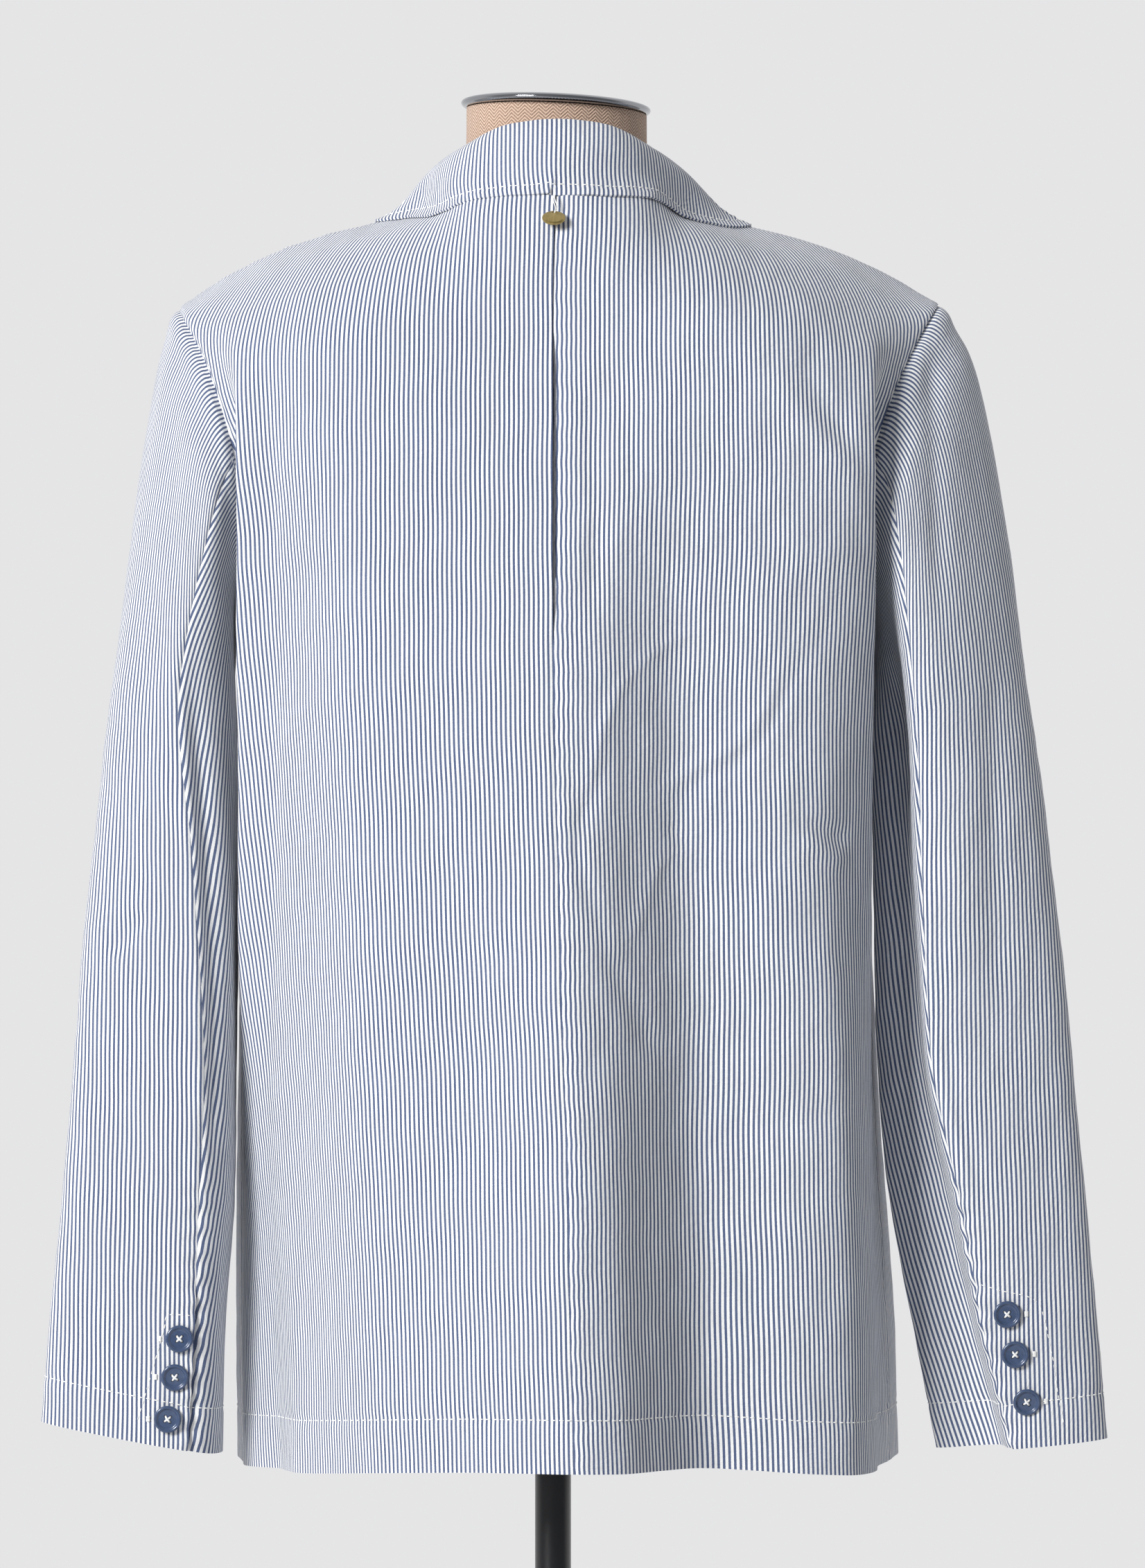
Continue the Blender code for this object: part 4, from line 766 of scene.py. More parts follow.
print(len(FOLDS_BACK), "folds on the back,", len(FOLDS_SLEEVE_LEFT) + len(FOLDS_SLEEVE_RIGHT),
      "on the sleeves")


# %% [markdown]
# ## Seams and hems
#
# Beside a seam the cloth dips, because the allowance inside is pressed flat. A hem is
# sewn about 28 mm up, and its stitches draw the cloth in. Both need distances along the
# cloth, so we measure how far each point is from each edge of its panel.


# %% Distances along the cloth, and the bent panels
def run_length(grid, axis):
    """Distance along the grid from its first row or column, by adding up the steps."""
    step = np.linalg.norm(np.diff(grid, axis=axis), axis=2)
    first = np.zeros_like(np.take(step, [0], axis=axis))
    return np.concatenate([first, np.cumsum(step, axis=axis)], axis=axis)


def edge_distances(grid):
    """Distance of each point from the four edges of its panel, by name."""
    up, across = run_length(grid, 0), run_length(grid, 1)
    return {"bottom": up, "top": up[-1:] - up, "first": across, "last": across[:, -1:] - across}


BODY_HEM = 0.0285       # from the edge up to the hem's stitches
CUFF_HEM = 0.025
EDGE_STITCHES = 0.0065  # from a finished edge in to its stitches
SEAMS, HEMS = {}, {}
for side in SIDES:
    SEAMS[f"back_{side}"] = ("first", "last", "top")
    SEAMS[f"front_{side}"] = ("first", "top")
    HEMS[f"back_{side}"] = HEMS[f"front_{side}"] = ("bottom", BODY_HEM)
    for part in ("upper", "under"):
        SEAMS[f"{part}_sleeve_{side}"] = ("bottom", "first", "last")
        HEMS[f"{part}_sleeve_{side}"] = ("top", CUFF_HEM)
# Every height and width here is in metres.
FOLD_FADE = 0.010       # beside a body panel's seam, folds grow from nothing
FACING_GAIN = 1.6       # a sleeve's folds reach their height well before it faces the eye
FRONT_SHARE, FRONT_DROP = 0.8, 0.04     # its front's folds are fainter and lower
SEAM_DIP, SEAM_WIDTH = 0.0007, 0.0016
ARMHOLE_DIP, ARMHOLE_WIDTH = 0.0022, 0.0026
BODICE = 1.11           # a body panel's side is its armhole above this height
EASE, EASE_AT, EASE_WIDTH = 0.0012, 0.009, 0.006    # the sleeve head's fullness
PUCKER, PUCKER_WIDTH = 0.00022, 0.006               # along the seams
HEM_RIPPLE, HEM_RIPPLE_WIDTH = 0.00028, 0.006       # where the hem's stitches draw it in
HEM_DIP, HEM_WIDTH = 0.00045, 0.0022
SLIT_FROM = 1.075       # the centre back seam gapes between these two heights
SLIT_TO = 1.245
SLIT_SOFT, SLIT_WIDTH = 0.02, 0.004
SLIT_LIFT = {"back_left": 0.0011, "back_right": -0.0022}
VENT_TO = 0.727         # and each cuff's vent is open below this one
VENT_SOFT, VENT_WIDTH = 0.012, 0.005
VENT_LIFT = {"upper": 0.0014, "under": -0.0020}
RUFFLE, RUFFLE_WIDTH = 0.0008, 0.008                # small waves along the cuff's vent
RUFFLE_LENGTH = 0.013
RUFFLE_TO, RUFFLE_SOFT = 0.80, 0.03


def uneven_waves(points, quick, slow, phase):
    """Two sine waves through space, multiplied: the slow one makes the quick one uneven."""
    return np.sin(points @ np.array(quick)) * np.sin(points @ np.array(slow) + phase)


def placed_folds(name, grid):
    """The listed folds on a panel. Those of a sleeve lie on its back, and come again a little lower and
    fainter on its front."""
    x, z, facing = grid[..., 0], grid[..., 2], normals[name][..., 1]
    if name.startswith("back"):
        return fold_height(x, z, FOLDS_BACK)
    if name.startswith("front"):
        return fold_height(x, z, FOLDS_FRONT)
    folds = FOLDS_SLEEVE_LEFT if name.endswith("left") else FOLDS_SLEEVE_RIGHT
    behind, before = np.clip(-facing * FACING_GAIN, 0, 1), np.clip(facing * FACING_GAIN, 0, 1)
    return (fold_height(x, z, folds) * behind
            + FRONT_SHARE * fold_height(x, z + FRONT_DROP, folds) * before)


bent = {}
for name, grid in panels.items():
    far = edge_distances(grid)
    z = grid[..., 2]
    is_sleeve = "sleeve" in name
    edge = np.min([far[seam] for seam in SEAMS[name]], axis=0)
    height = rumple(grid)
    height += placed_folds(name, grid) * (1 if is_sleeve else np.clip(edge / FOLD_FADE, 0, 1))
    height += PUCKER * uneven_waves(grid, (210, 160, 690), (90, 40, 173), 1) * np.exp(-edge / PUCKER_WIDTH)
    height -= SEAM_DIP * bell(edge, SEAM_WIDTH)
    hole = far["bottom"] if is_sleeve else np.where(z > BODICE, far["first"], 1.0)
    height -= (ARMHOLE_DIP - SEAM_DIP) * bell(hole, ARMHOLE_WIDTH)
    hem, up = HEMS[name]
    from_hem = far[hem] - up
    hem_waves = uneven_waves(grid, (560, 330, 40), (131, 97, 12), 2)
    height += HEM_RIPPLE * hem_waves * bell(from_hem, HEM_RIPPLE_WIDTH)
    height -= HEM_DIP * bell(from_hem, HEM_WIDTH)
    if name.startswith("back"):
        centre = far["last"] if name == "back_left" else far["first"]
        gape = (np.clip((z - SLIT_FROM) / SLIT_SOFT, 0, 1)
                * np.clip((SLIT_TO - z) / SLIT_SOFT, 0, 1))
        height += SLIT_LIFT[name] * gape * bell(centre, SLIT_WIDTH)
    if is_sleeve:
        part = name[:5]
        height += EASE * bell(hole - EASE_AT, EASE_WIDTH)
        vent = far["last"] if part == "upper" else far["first"]
        height += VENT_LIFT[part] * np.clip((VENT_TO - z) / VENT_SOFT, 0, 1) * bell(vent, VENT_WIDTH)
        ruffle = np.sin(2 * math.pi * z / RUFFLE_LENGTH) * np.clip((RUFFLE_TO - z) / RUFFLE_SOFT, 0, 1)
        height += RUFFLE * ruffle * bell(vent, RUFFLE_WIDTH)
    bent[name] = grid + normals[name] * height[..., None]
    print(name, "bent from", round(height.min() * 1000, 2), "to", round(height.max() * 1000, 2), "mm")


# %% [markdown]
# ## The collar and the lapels
#
# The collar stands up from the neckline, rolls over and falls back on itself. Each of
# its sections is a short curve: seam, stand, roll, fall and edge. Where the fall would
# sink into the shoulder it is lifted off the body.

# %% Collar and lapel measures
CLOTH = 0.0018          # the thickness of the solids' cloth
NECK_X = 0.002          # the neck's middle
COLLAR_SEAM = ((0.000, -0.0650, 1.3365), (0.036, -0.0565, 1.3355), (0.056, -0.0390, 1.3330),
               (0.0665, -0.0150, 1.3290), (0.0690, 0.0030, 1.3235), (0.0670, 0.0215, 1.3080),
               (0.0580, 0.0565, 1.2730))
COLLAR_FOLD = ((0.000, -0.0610, 1.3625), (0.028, -0.0560, 1.3598), (0.045, -0.0400, 1.3535),
               (0.0555, -0.0150, 1.3485), (0.0590, 0.0060, 1.3385), (0.0590, 0.0270, 1.3180),
               (0.0540, 0.0600, 1.2810))
COLLAR_EDGE_LEFT = ((-0.0300, -0.0705, 1.3190), (-0.0600, -0.0532, 1.3160), (-0.0820, -0.0198, 1.3168),
                    (-0.0970, -0.0040, 1.3130), (-0.0990, 0.0190, 1.3040), (-0.0910, 0.0615, 1.2660))
COLLAR_EDGE_RIGHT = ((0.0357, -0.0690, 1.3180), (0.0640, -0.0448, 1.3163), (0.0960, -0.0185, 1.3100),
                     (0.1085, -0.0030, 1.3095), (0.1090, 0.0200, 1.3000), (0.0990, 0.0630, 1.2635))
COLLAR_EDGE_MIDDLE = (0.0026, -0.0785, 1.3220)
COLLAR_BULGE = 0.0028   # how far the fall bows out between its fold and its edge
COLLAR_ROLL = 0.0036    # half the width of the roll at the fold
COLLAR_GAP = 0.0022     # between the collar's fall and the body
COLLAR_LAID = 0.0019    # and between its fine fall and the bent cloth
COLLAR_LAID_FROM = 49   # the fine column where the laying starts
COLLAR_STEPS = 2        # grid steps between two named sections of the collar
COLLAR_UP, COLLAR_ACROSS = 8, 7     # fine rows and columns in its coarse cell
FALL_AT = (0.16, 0.38, 0.68, 1.0)   # the fall's columns, as shares of its depth
FALL_COLUMN = 7         # a coarse column that lies well down the fall
LAPEL_ROLL = ((-0.003, 0.997), (0.0135, 1.070), (0.0345, 1.155), (0.0545, 1.225), (0.0640, 1.255))
LAPEL_EDGE = ((0.004, 0.992), (0.044, 1.060), (0.080, 1.140), (0.106, 1.215), (0.0840, 1.248))
LAPEL_ROWS, LAPEL_COLUMNS = 12, 5
LAPEL_FINE = 8          # fine rows and columns in its coarse cell
EDGE_DIP = 0.00035      # along the stitches of the collar's and the lapels' edges
LAPEL_GAP = 0.0014      # off the front, which curves between the lapel's own points
LAPEL_BULGE = 0.0030    # how far its middle stands off
LAPEL_START_LEFT = 0.75 # the left lapel comes out from under the right front's edge


def tree_of(grid):
    """A search tree over a coarse grid's faces."""
    return BVHTree.FromPolygons(grid.reshape(-1, 3).tolist(), grid_quads(*grid.shape[:2]).tolist())


def seen_from(tree, x, z, side):
    """The point and normal of a panel at (x, z), seen from behind (-1) or in front (1)."""
    point, normal, _, _ = tree.ray_cast(Vector((x, side, z)), Vector((0, -side, 0)))
    return np.array(point), np.array(normal if normal.y * side > 0 else -normal)


BODY_MIDDLE = Vector((0, 0, 1.1))


def lifted(points, trees, height, laid):
    """The points, with those that lie lower than height over the panels raised to it, and
    the others lowered to it by the share that is laid down."""
    raised = points.copy()
    for k, p in enumerate(points):
        spot, normal, _, _ = min((tree.find_nearest(Vector(p)) for tree in trees), key=lambda hit: hit[3])
        if normal.dot(spot - BODY_MIDDLE) < 0:
            normal = -normal
        low = height - (Vector(p) - spot).dot(normal)
        raised[k] += np.array(normal) * (low if low > 0 else low * laid)
    return raised


def collar_grid():
    """The collar's sections as columns: two on the stand, three round the roll at the
    fold, and four down the fall, which bows out by a half sine wave."""
    lines = []
    for table in (COLLAR_SEAM, COLLAR_FOLD):
        whole = np.array([*[(-x, y, z) for x, y, z in table[:0:-1]], *table]) + (NECK_X, 0, 0)
        lines.append(through(whole, even_steps(len(whole), COLLAR_STEPS)))
    whole = (*COLLAR_EDGE_LEFT[::-1], COLLAR_EDGE_MIDDLE, *COLLAR_EDGE_RIGHT)
    edge = through(whole, even_steps(len(whole), COLLAR_STEPS))
    seam, fold = lines
    out = (edge - fold) * (1, 1, 0)
    out /= np.linalg.norm(out, axis=1, keepdims=True)
    up = np.array([0, 0, 1.0])
    over = fold + out * COLLAR_ROLL
    trees = [tree_of(coarse_back), tree_of(coarse_fronts["left"]), tree_of(coarse_fronts["right"])]
    beside, below = out * COLLAR_ROLL * 0.72, up * 0.0016
    columns = [seam, seam * 0.5 + fold * 0.5 - out * 0.001, fold - out * COLLAR_ROLL - up * 0.006,
               fold - beside - below, fold, fold + beside - below]
    for f in FALL_AT:
        bow = (out * 0.7 + up * 0.7) * COLLAR_BULGE * math.sin(math.pi * f)
        columns.append(lifted(over * (1 - f) + edge * f + bow, trees, COLLAR_GAP, max(0.0, f * 2 - 1)))
    return np.stack(columns, axis=1)


def lapel_grid(side, mirror, first):
    """A lapel laid on its front, from the roll line out to the edge and the notch. It
    bulges off the front by the square of a half sine wave."""
    tree = tree_of(coarse_fronts[side])
    rows = np.linspace(first, len(LAPEL_ROLL) - 1, LAPEL_ROWS + 1)
    roll, edge = through(LAPEL_ROLL, rows), through(LAPEL_EDGE, rows)
    share = np.linspace(0, 1, LAPEL_COLUMNS + 1)
    flat = roll[:, None] * (1 - share[None, :, None]) + edge[:, None] * share[None, :, None]
    hits = [seen_from(tree, mirror * x, z, 1) for x, z in flat.reshape(-1, 2)]
    lift = LAPEL_GAP + CLOTH + LAPEL_BULGE * np.sin(math.pi * share) ** 2
    points = np.array([hit[0] for hit in hits]).reshape(*flat.shape[:2], 3)
    way = np.array([hit[1] for hit in hits]).reshape(*flat.shape[:2], 3)
    return points + way * lift[None, :, None]


def edged(name, grid, normal):
    """Adds a panel, bent by half the body's rumple and dipped along its edge's stitches."""
    dip = EDGE_DIP * bell(edge_distances(grid)["last"] - EDGE_STITCHES, SEAM_WIDTH)
    height = 0.5 * rumple(grid) - dip
    panels[name], normals[name] = grid, normal
    bent[name] = grid + normal * height[..., None]


collar = refine(collar_grid(), COLLAR_UP, COLLAR_ACROSS)
# Between its sections the fall is laid down on the bent cloth, more and more to its edge.
laid_on = [tree_of(bent[name][::3, ::3]) for name in ("back_left", "back_right", "front_left", "front_right")]
last_column = collar.shape[1] - 1
for column in range(COLLAR_LAID_FROM + 1, last_column + 1):
    share = (column - COLLAR_LAID_FROM) / (last_column - COLLAR_LAID_FROM)
    collar[:, column] = lifted(collar[:, column], laid_on, COLLAR_LAID, share * share)
# The fall faces out and the stand faces the neck, so the fall decides which way is out.
collar_normal = grid_normals(collar, (0, 0))
fall_at = FALL_COLUMN * COLLAR_ACROSS
on_the_fall = collar_normal[:, fall_at] * collar[:, fall_at] * (1, 1, 0)
edged("collar", collar, -collar_normal if on_the_fall.sum() < 0 else collar_normal)
for side, mirror, first in (("left", -1, LAPEL_START_LEFT), ("right", 1, 0)):
    lapel = refine(lapel_grid(side, mirror, first), LAPEL_FINE, LAPEL_FINE)
    edged(f"lapel_{side}", lapel, grid_normals(lapel, (0, 0)))
print("collar", collar.shape, "lapel", lapel.shape)


# %% [markdown]
# ## Stripes that follow the cut
#
# The stripes run with the grain of each panel. A UV map in millimetres says where each
# point of the mesh lies on the flat cloth: u is the distance across the stripes from
# the panel's own straight line, and v runs down them. Hand-cut cloth is never quite
# straight, so u wanders by less than a millimetre.


# %% Where each point lies on the flat cloth
UPPER_LINE = (RING - FRONT_SEAM + 1) * STEPS * UP   # the upper sleeve's column down its back
STRAIGHT = {"back_left": -1, "back_right": 0, "front_left": -1, "front_right": -1}
# These are in millimetres of cloth, apart from heights in the room. A slant has how much
# the stripes lean, how far from the straight column it starts and over how far it grows.
WANDER, QUICK_WANDER = 0.22, 0.12
SLIT_WANDER, SLIT_WANDER_WIDTH = 0.16, 13           # the right back's stripes beside the slit
LEFT_SLANT, LEFT_SLANT_FROM, LEFT_SLANT_OVER = 0.028, 112, 62
RIGHT_SLANT, RIGHT_SLANT_FROM, RIGHT_SLANT_OVER = 40, 15, 140
RIGHT_SLANT_BELOW = 1.03                            # a height in metres
SLEEVE_KNEE = {"left": 222, "right": 236}           # how far out the sleeve's back line bends
LEAN_BELOW, LEAN_ABOVE = 0.75, 0.15                 # the share of its lean that is taken back
EASED_IN, EASED_DEPTH, EASED_OVER = 8, 12, 40       # at the sleeve head
UNDER_LEAN = 0.1


def straight_column(name, grid):
    """The column of a panel's grid that the stripes run parallel to."""
    if name.startswith("upper"):
        return UPPER_LINE
    return STRAIGHT.get(name, grid.shape[1] // 2 if name.startswith("under") else -1)


def flat_place(name, grid):
    """(u, v) in millimetres: u is the run along each row from the straight column, and v
    is the run along each column from its first row. Sine waves make u wander."""
    across, v = run_length(grid, 1) * 1000, run_length(grid, 0) * 1000
    line = straight_column(name, grid)
    u = across - across[:, line][:, None]
    wander = WANDER * np.sin(v * 0.045 + u * 0.02 + len(name)) + QUICK_WANDER * np.sin(v * 0.13 - u * 0.03)
    if name == "back_left":
        # The side of this panel is cut on a slight slant, so its stripes lean inward.
        slant = soft_step((-u - LEFT_SLANT_FROM) / LEFT_SLANT_OVER)
        u = u - slant * LEFT_SLANT * (v.max() - v)
    elif name == "back_right":
        # So is this one's, below the waist, and its stripes tremble beside the slit.
        wander = wander + SLIT_WANDER * np.sin(v * 0.42 + u * 0.05) * bell(u, SLIT_WANDER_WIDTH)
        slant = soft_step((u - RIGHT_SLANT_FROM) / RIGHT_SLANT_OVER)
        u = u - slant * RIGHT_SLANT * np.clip(RIGHT_SLANT_BELOW - grid[..., 2], 0, None)
    elif name.startswith("upper"):
        # The sleeve hangs turned a little, so below its head the stripes stand more upright
        # than it does. Above, they keep to its outline.
        past_knee = np.abs(grid[:, line, 0])[:, None] * 1000 - SLEEVE_KNEE[name.rsplit("_")[-1]]
        u = u - LEAN_BELOW * np.maximum(past_knee, 0) - LEAN_ABOVE * np.minimum(past_knee, 0)
        # The sleeve head is eased in, which draws the stripes square to the armhole.
        inward = soft_step((across - across[:, line - STEPS * UP][:, None]) / EASED_OVER)
        u = u - EASED_IN * np.exp(-v / EASED_DEPTH) * inward
    elif name.startswith("under"):
        u = u + UNDER_LEAN * v
    return np.stack([u + wander, v], axis=-1)


flat = {name: flat_place(name, grid) for name, grid in panels.items()}
# The collar's stripes run across it, from its seam to its edge.
collar_along, collar_out = run_length(collar, 0) * 1000, run_length(collar, 1)
collar_u = collar_along - collar_along[len(collar) // 2] + 0.2 * np.sin(collar_out * 160)
flat["collar"] = np.stack([collar_u, collar_out * 1000], axis=-1)
print("u of the left back runs", flat["back_left"][..., 0].min().round(1), "mm to the side seam")

# %% [markdown]
# ## Seersucker
#
# Seersucker is a thin cotton woven with some threads slack, so that it puckers in
# stripes. Here the puckered stripes are white and the flat ones blue, about 2.6 mm a
# pair. The shader makes the stripes from u, breaks their edges up by thread, and adds
# a fine pucker as bump. It is matt, with a faint sheen from its fibres.


# %% The cloth
STRIPE_PAIR = 2.58      # mm from one blue stripe to the next
BLUE_SHARE = (0.212, 0.262)     # half a stripe turns from blue to white between these
RAGGED = 0.16           # mm by which the stripes' edges are ragged
THREAD_FADE = 0.22      # how far single threads fade to a paler colour


def woven_seersucker(name, blue, white):
    """Striped cotton: blue and white by a repeating ramp over u, thread by thread."""
    material = new_material(name, 0.86, Sheen_Weight=0.12, Sheen_Roughness=0.5)
    place = node(material, "UVMap", {"uv_map": "flat"}).outputs["UV"]
    parts = node(material, "SeparateXYZ", _0=place)
    u, v = parts.outputs[0], parts.outputs[1]

    def cloth_noise(across, along, **settings):
        """Noise over u and v, each times its own scale."""
        where = node(material, "CombineXYZ", _0=sums(material, "MULTIPLY", u, across),
                     _1=sums(material, "MULTIPLY", v, along)).outputs[0]
        return noise(material, where, "2D", Scale=1.0, **settings)

    ragged = sums(material, "MULTIPLY_ADD", cloth_noise(0.9, 1.9, Detail=1.0), RAGGED, u)
    pairs = sums(material, "MULTIPLY", ragged, 1 / STRIPE_PAIR)
    stripe = ranged(material, sums(material, "PINGPONG", pairs, 0.5), *BLUE_SHARE, steps="SMOOTHSTEP")
    threads = cloth_noise(2.4, 1.1, Detail=2.0, Roughness=0.7)
    light = ranged(material, threads, 0.3, 0.7, 0.0, THREAD_FADE)
    blue_thread = mixed(material, light, linear(blue), linear("#8E99B0"))
    white_thread = mixed(material, light, linear(white), linear("#D8DADD"))
    both = mixed(material, stripe, blue_thread, white_thread)
    tone = ranged(material, cloth_noise(0.10, 0.035, Detail=3.0), 0.3, 0.7, 0.95, 1.03)
    toned = node(material, "VectorMath", {"operation": "SCALE"}, _0=both, Scale=tone)
    wire(material, toned.outputs[0], "Base Color")
    # The white stripes stand higher, and a broad and a fine pucker run over both.
    pucker = cloth_noise(0.22, 0.34, Detail=2.5, Roughness=0.6)
    body = sums(material, "MULTIPLY_ADD", stripe, 0.10, pucker)
    tall = sums(material, "MULTIPLY_ADD", cloth_noise(0.7, 0.9, Detail=2.0), 0.22, body)
    bumped(material, tall, 0.5, 0.0007)
    return material


seersucker = woven_seersucker("woven_seersucker_cotton", "#47567A", "#F1F1F0")
print("stripe pair", STRIPE_PAIR, "mm")


# %% [markdown]
# ## From grids to meshes
#
# Each panel becomes a thin closed shell: its outer face, the same grid a little way in,
# and a rim that joins them. The whole mesh goes in with foreach_set, which is many
# times faster than adding faces one by one.


# %% Shells of cloth
def put_mesh(name, points, quads, uv=None, material=None):
    """A mesh object from arrays of points and four-cornered faces."""
    mesh = bpy.data.meshes.new(name)
    mesh.vertices.add(len(points))
    mesh.vertices.foreach_set("co", np.ascontiguousarray(points, np.float32).ravel())
    mesh.loops.add(quads.size)
    mesh.loops.foreach_set("vertex_index", np.ascontiguousarray(quads, np.int32).ravel())
    mesh.polygons.add(len(quads))
    mesh.polygons.foreach_set("loop_start", np.arange(0, quads.size, quads.shape[1], dtype=np.int32))
    mesh.update(calc_edges=True)
    if uv is not None:
        layer = mesh.uv_layers.new(name="flat")
        layer.data.foreach_set("uv", np.ascontiguousarray(uv[quads.ravel()], np.float32).ravel())
    mesh.shade_smooth()
    mesh.set_sharp_from_angle(angle=math.radians(42))
    if material is not None:
        mesh.materials.append(material)
    return put_in_scene(name, mesh)


def shell(name, outer, way_out, thick, uv, material):
    """A closed shell: the outer grid, the grid moved inward by its thickness, and a rim
    along the four edges. Faces are turned so that the outer side faces outward."""
    rows, columns = outer.shape[:2]
    count = rows * columns
    inner = outer - way_out * thick
    quads = grid_quads(rows, columns)
    points = outer.reshape(-1, 3)
    one, two = points[quads[:, 2]] - points[quads[:, 0]], points[quads[:, 3]] - points[quads[:, 1]]
    turned = (np.cross(one, two) * way_out.reshape(-1, 3)[quads[:, 0]]).sum() < 0
    if turned:
        quads = quads[:, ::-1]
    number = np.arange(count).reshape(rows, columns)
    rim = np.concatenate([number[0], number[1:, -1], number[-1, -2::-1], number[-2:0:-1, 0]])
    after = np.roll(rim, -1)
    band = np.stack([rim, after, after + count, rim + count], axis=1)
    if not turned:
        band = band[:, ::-1]
    faces = np.concatenate([quads, quads[:, ::-1] + count, band])
    both = np.concatenate([points, inner.reshape(-1, 3)])
    return put_mesh(name, both, faces, np.concatenate([uv.reshape(-1, 2)] * 2), material)


def area_of(grid):
    """The area of a grid's surface: half the cross product of each cell's diagonals."""
    one, two = grid[1:, 1:] - grid[:-1, :-1], grid[1:, :-1] - grid[:-1, 1:]
    return float(np.linalg.norm(np.cross(one, two), axis=2).sum() / 2)


def cut_size(grid):
    """A panel's size across and along, and its area."""
    return float(run_length(grid, 1).max()), float(run_length(grid, 0).max()), area_of(grid)


SHELL = 0.0013          # the thickness of the dressed cloth
pieces = {}
for name in bent:
    # The plain fronts take every second column, so that all the cloth stays light.
    every = 2 if name.startswith("front") else 1
    outer, way_out, uv = (grid[:, ::every] for grid in (bent[name], normals[name], flat[name]))
    thing = shell(f"cloth_{name}", outer, way_out, SHELL, uv, seersucker)
    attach(thing, "root")
    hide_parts(name)
    pieces[name] = thing
    print(name, len(thing.data.polygons), "faces, %.3f m across, %.3f m long, %.4f m2" % cut_size(bent[name]))


# %% [markdown]
# ## Sewing
#
# Topstitching is thread that dips in and out of the cloth. Each stitch that shows is a
# short fat spindle, and thousands of them share one small shape: a ring of six points
# swept along three places. We work out where the stitches lie by measuring along the
# cloth, then place every copy with one matrix product.

# %% Stitches
# Spun polyester thread, matt and white: it stands out as a dotted line.
thread = new_material("spun_white_thread", 0.7, Base_Color=linear("#F2F2F0"), Sheen_Weight=0.2)
twist = node(thread, "TexWave", {"bands_direction": "DIAGONAL"}, Scale=900.0, Distortion=1.0,
             Vector=own_place(thread)).outputs["Fac"]
bumped(thread, twist, 0.3, 0.0001)


def at_distance(grid, along, distance):
    """Points of a grid at a distance along its columns, from a table of run lengths."""
    low = np.clip((along < distance).sum(axis=0) - 1, 0, len(grid) - 2)
    column = np.arange(grid.shape[1])
    below, above = along[low, column], along[low + 1, column]
    share = np.clip((distance - below) / np.maximum(above - below, 1e-9), 0, 1)[:, None]
    return grid[low, column] * (1 - share) + grid[low + 1, column] * share


def even_path(points, normal, step):
    """Points, directions and normals at even steps along a path. A direction runs from
    the path a millimetre behind to the path a millimetre ahead."""
    length = np.concatenate([[0], np.cumsum(np.linalg.norm(np.diff(points, axis=0), axis=1))])
    count = max(2, int(length[-1] / step))
    at = (np.arange(count) + 0.5) * length[-1] / count
    spot, up = (np.stack([np.interp(at, length, values[:, k]) for k in range(3)], axis=1)
                for values in (points, normal))
    ahead = np.stack([np.interp(at + 0.001, length, points[:, k]) for k in range(3)], axis=1)
    behind = np.stack([np.interp(at - 0.001, length, points[:, k]) for k in range(3)], axis=1)
    way = ahead - behind
    way /= np.maximum(np.linalg.norm(way, axis=1, keepdims=True), 1e-9)
    up -= way * (up * way).sum(axis=1, keepdims=True)
    up /= np.maximum(np.linalg.norm(up, axis=1, keepdims=True), 1e-9)
    return spot, way, up


STITCH_SINK = 0.2       # how far a stitch's middle lies over the cloth, in its own radius


def stitch_mesh(name, spot, way, up, long, radius):
    """Spindles of six sides: three rings and two ends, laid along way and arched over up."""
    turn = np.arange(6) * math.pi / 3
    shape = [[(-0.5, 0, -0.9)]]
    for at, wide, rise in ((-0.34, 0.8, 0.1), (0.0, 1.0, 0.35), (0.34, 0.8, 0.1)):
        shape.append([(at, wide * math.cos(a), wide * math.sin(a) + rise) for a in turn])
    shape.append([(0.5, 0, -0.9)])
    local = np.array([p for ring in shape for p in ring])
    side = np.cross(up, way)
    points = (spot[:, None] + way[:, None] * local[None, :, :1] * long
              + side[:, None] * local[None, :, 1:2] * radius
              + up[:, None] * (local[None, :, 2:] + STITCH_SINK) * radius)
    faces = []
    for k in range(6):
        n = (k + 1) % 6
        faces += [(0, 1 + n, 1 + k, 1 + k), (1 + k, 1 + n, 7 + n, 7 + k), (7 + k, 7 + n, 13 + n, 13 + k),
                  (13 + k, 13 + n, 19, 19)]
    mesh = bpy.data.meshes.new(name)
    count = len(local)
    single = [f[:3] if f[2] == f[3] else f for f in faces]
    every = [tuple(v + count * k for v in f) for k in range(len(spot)) for f in single]
    mesh.from_pydata(points.reshape(-1, 3).tolist(), [], every)
    shape = bmesh.new()
    shape.from_mesh(mesh)
    bmesh.ops.recalc_face_normals(shape, faces=shape.faces)
    shape.to_mesh(mesh)
    shape.free()
    mesh.shade_smooth()
    mesh.materials.append(thread)
    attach(put_in_scene(name, mesh), "root")


def seam_of(name, edge, distance, first=0.0, last=1.0):
    """The path that lies a distance from a panel's edge, with its normals, cut to a share
    of its length."""
    grid, normal = bent[name], normals[name]
    if edge in ("first", "last"):
        grid, normal = grid.transpose(1, 0, 2), normal.transpose(1, 0, 2)
    if edge in ("last", "top"):
        grid, normal = grid[::-1], normal[::-1]
    along = run_length(grid, 0)
    path, up = at_distance(grid, along, distance), at_distance(normal, along, distance)
    a, b = int(first * len(path)), max(int(last * len(path)), 2)
    return path[a:b], up[a:b]


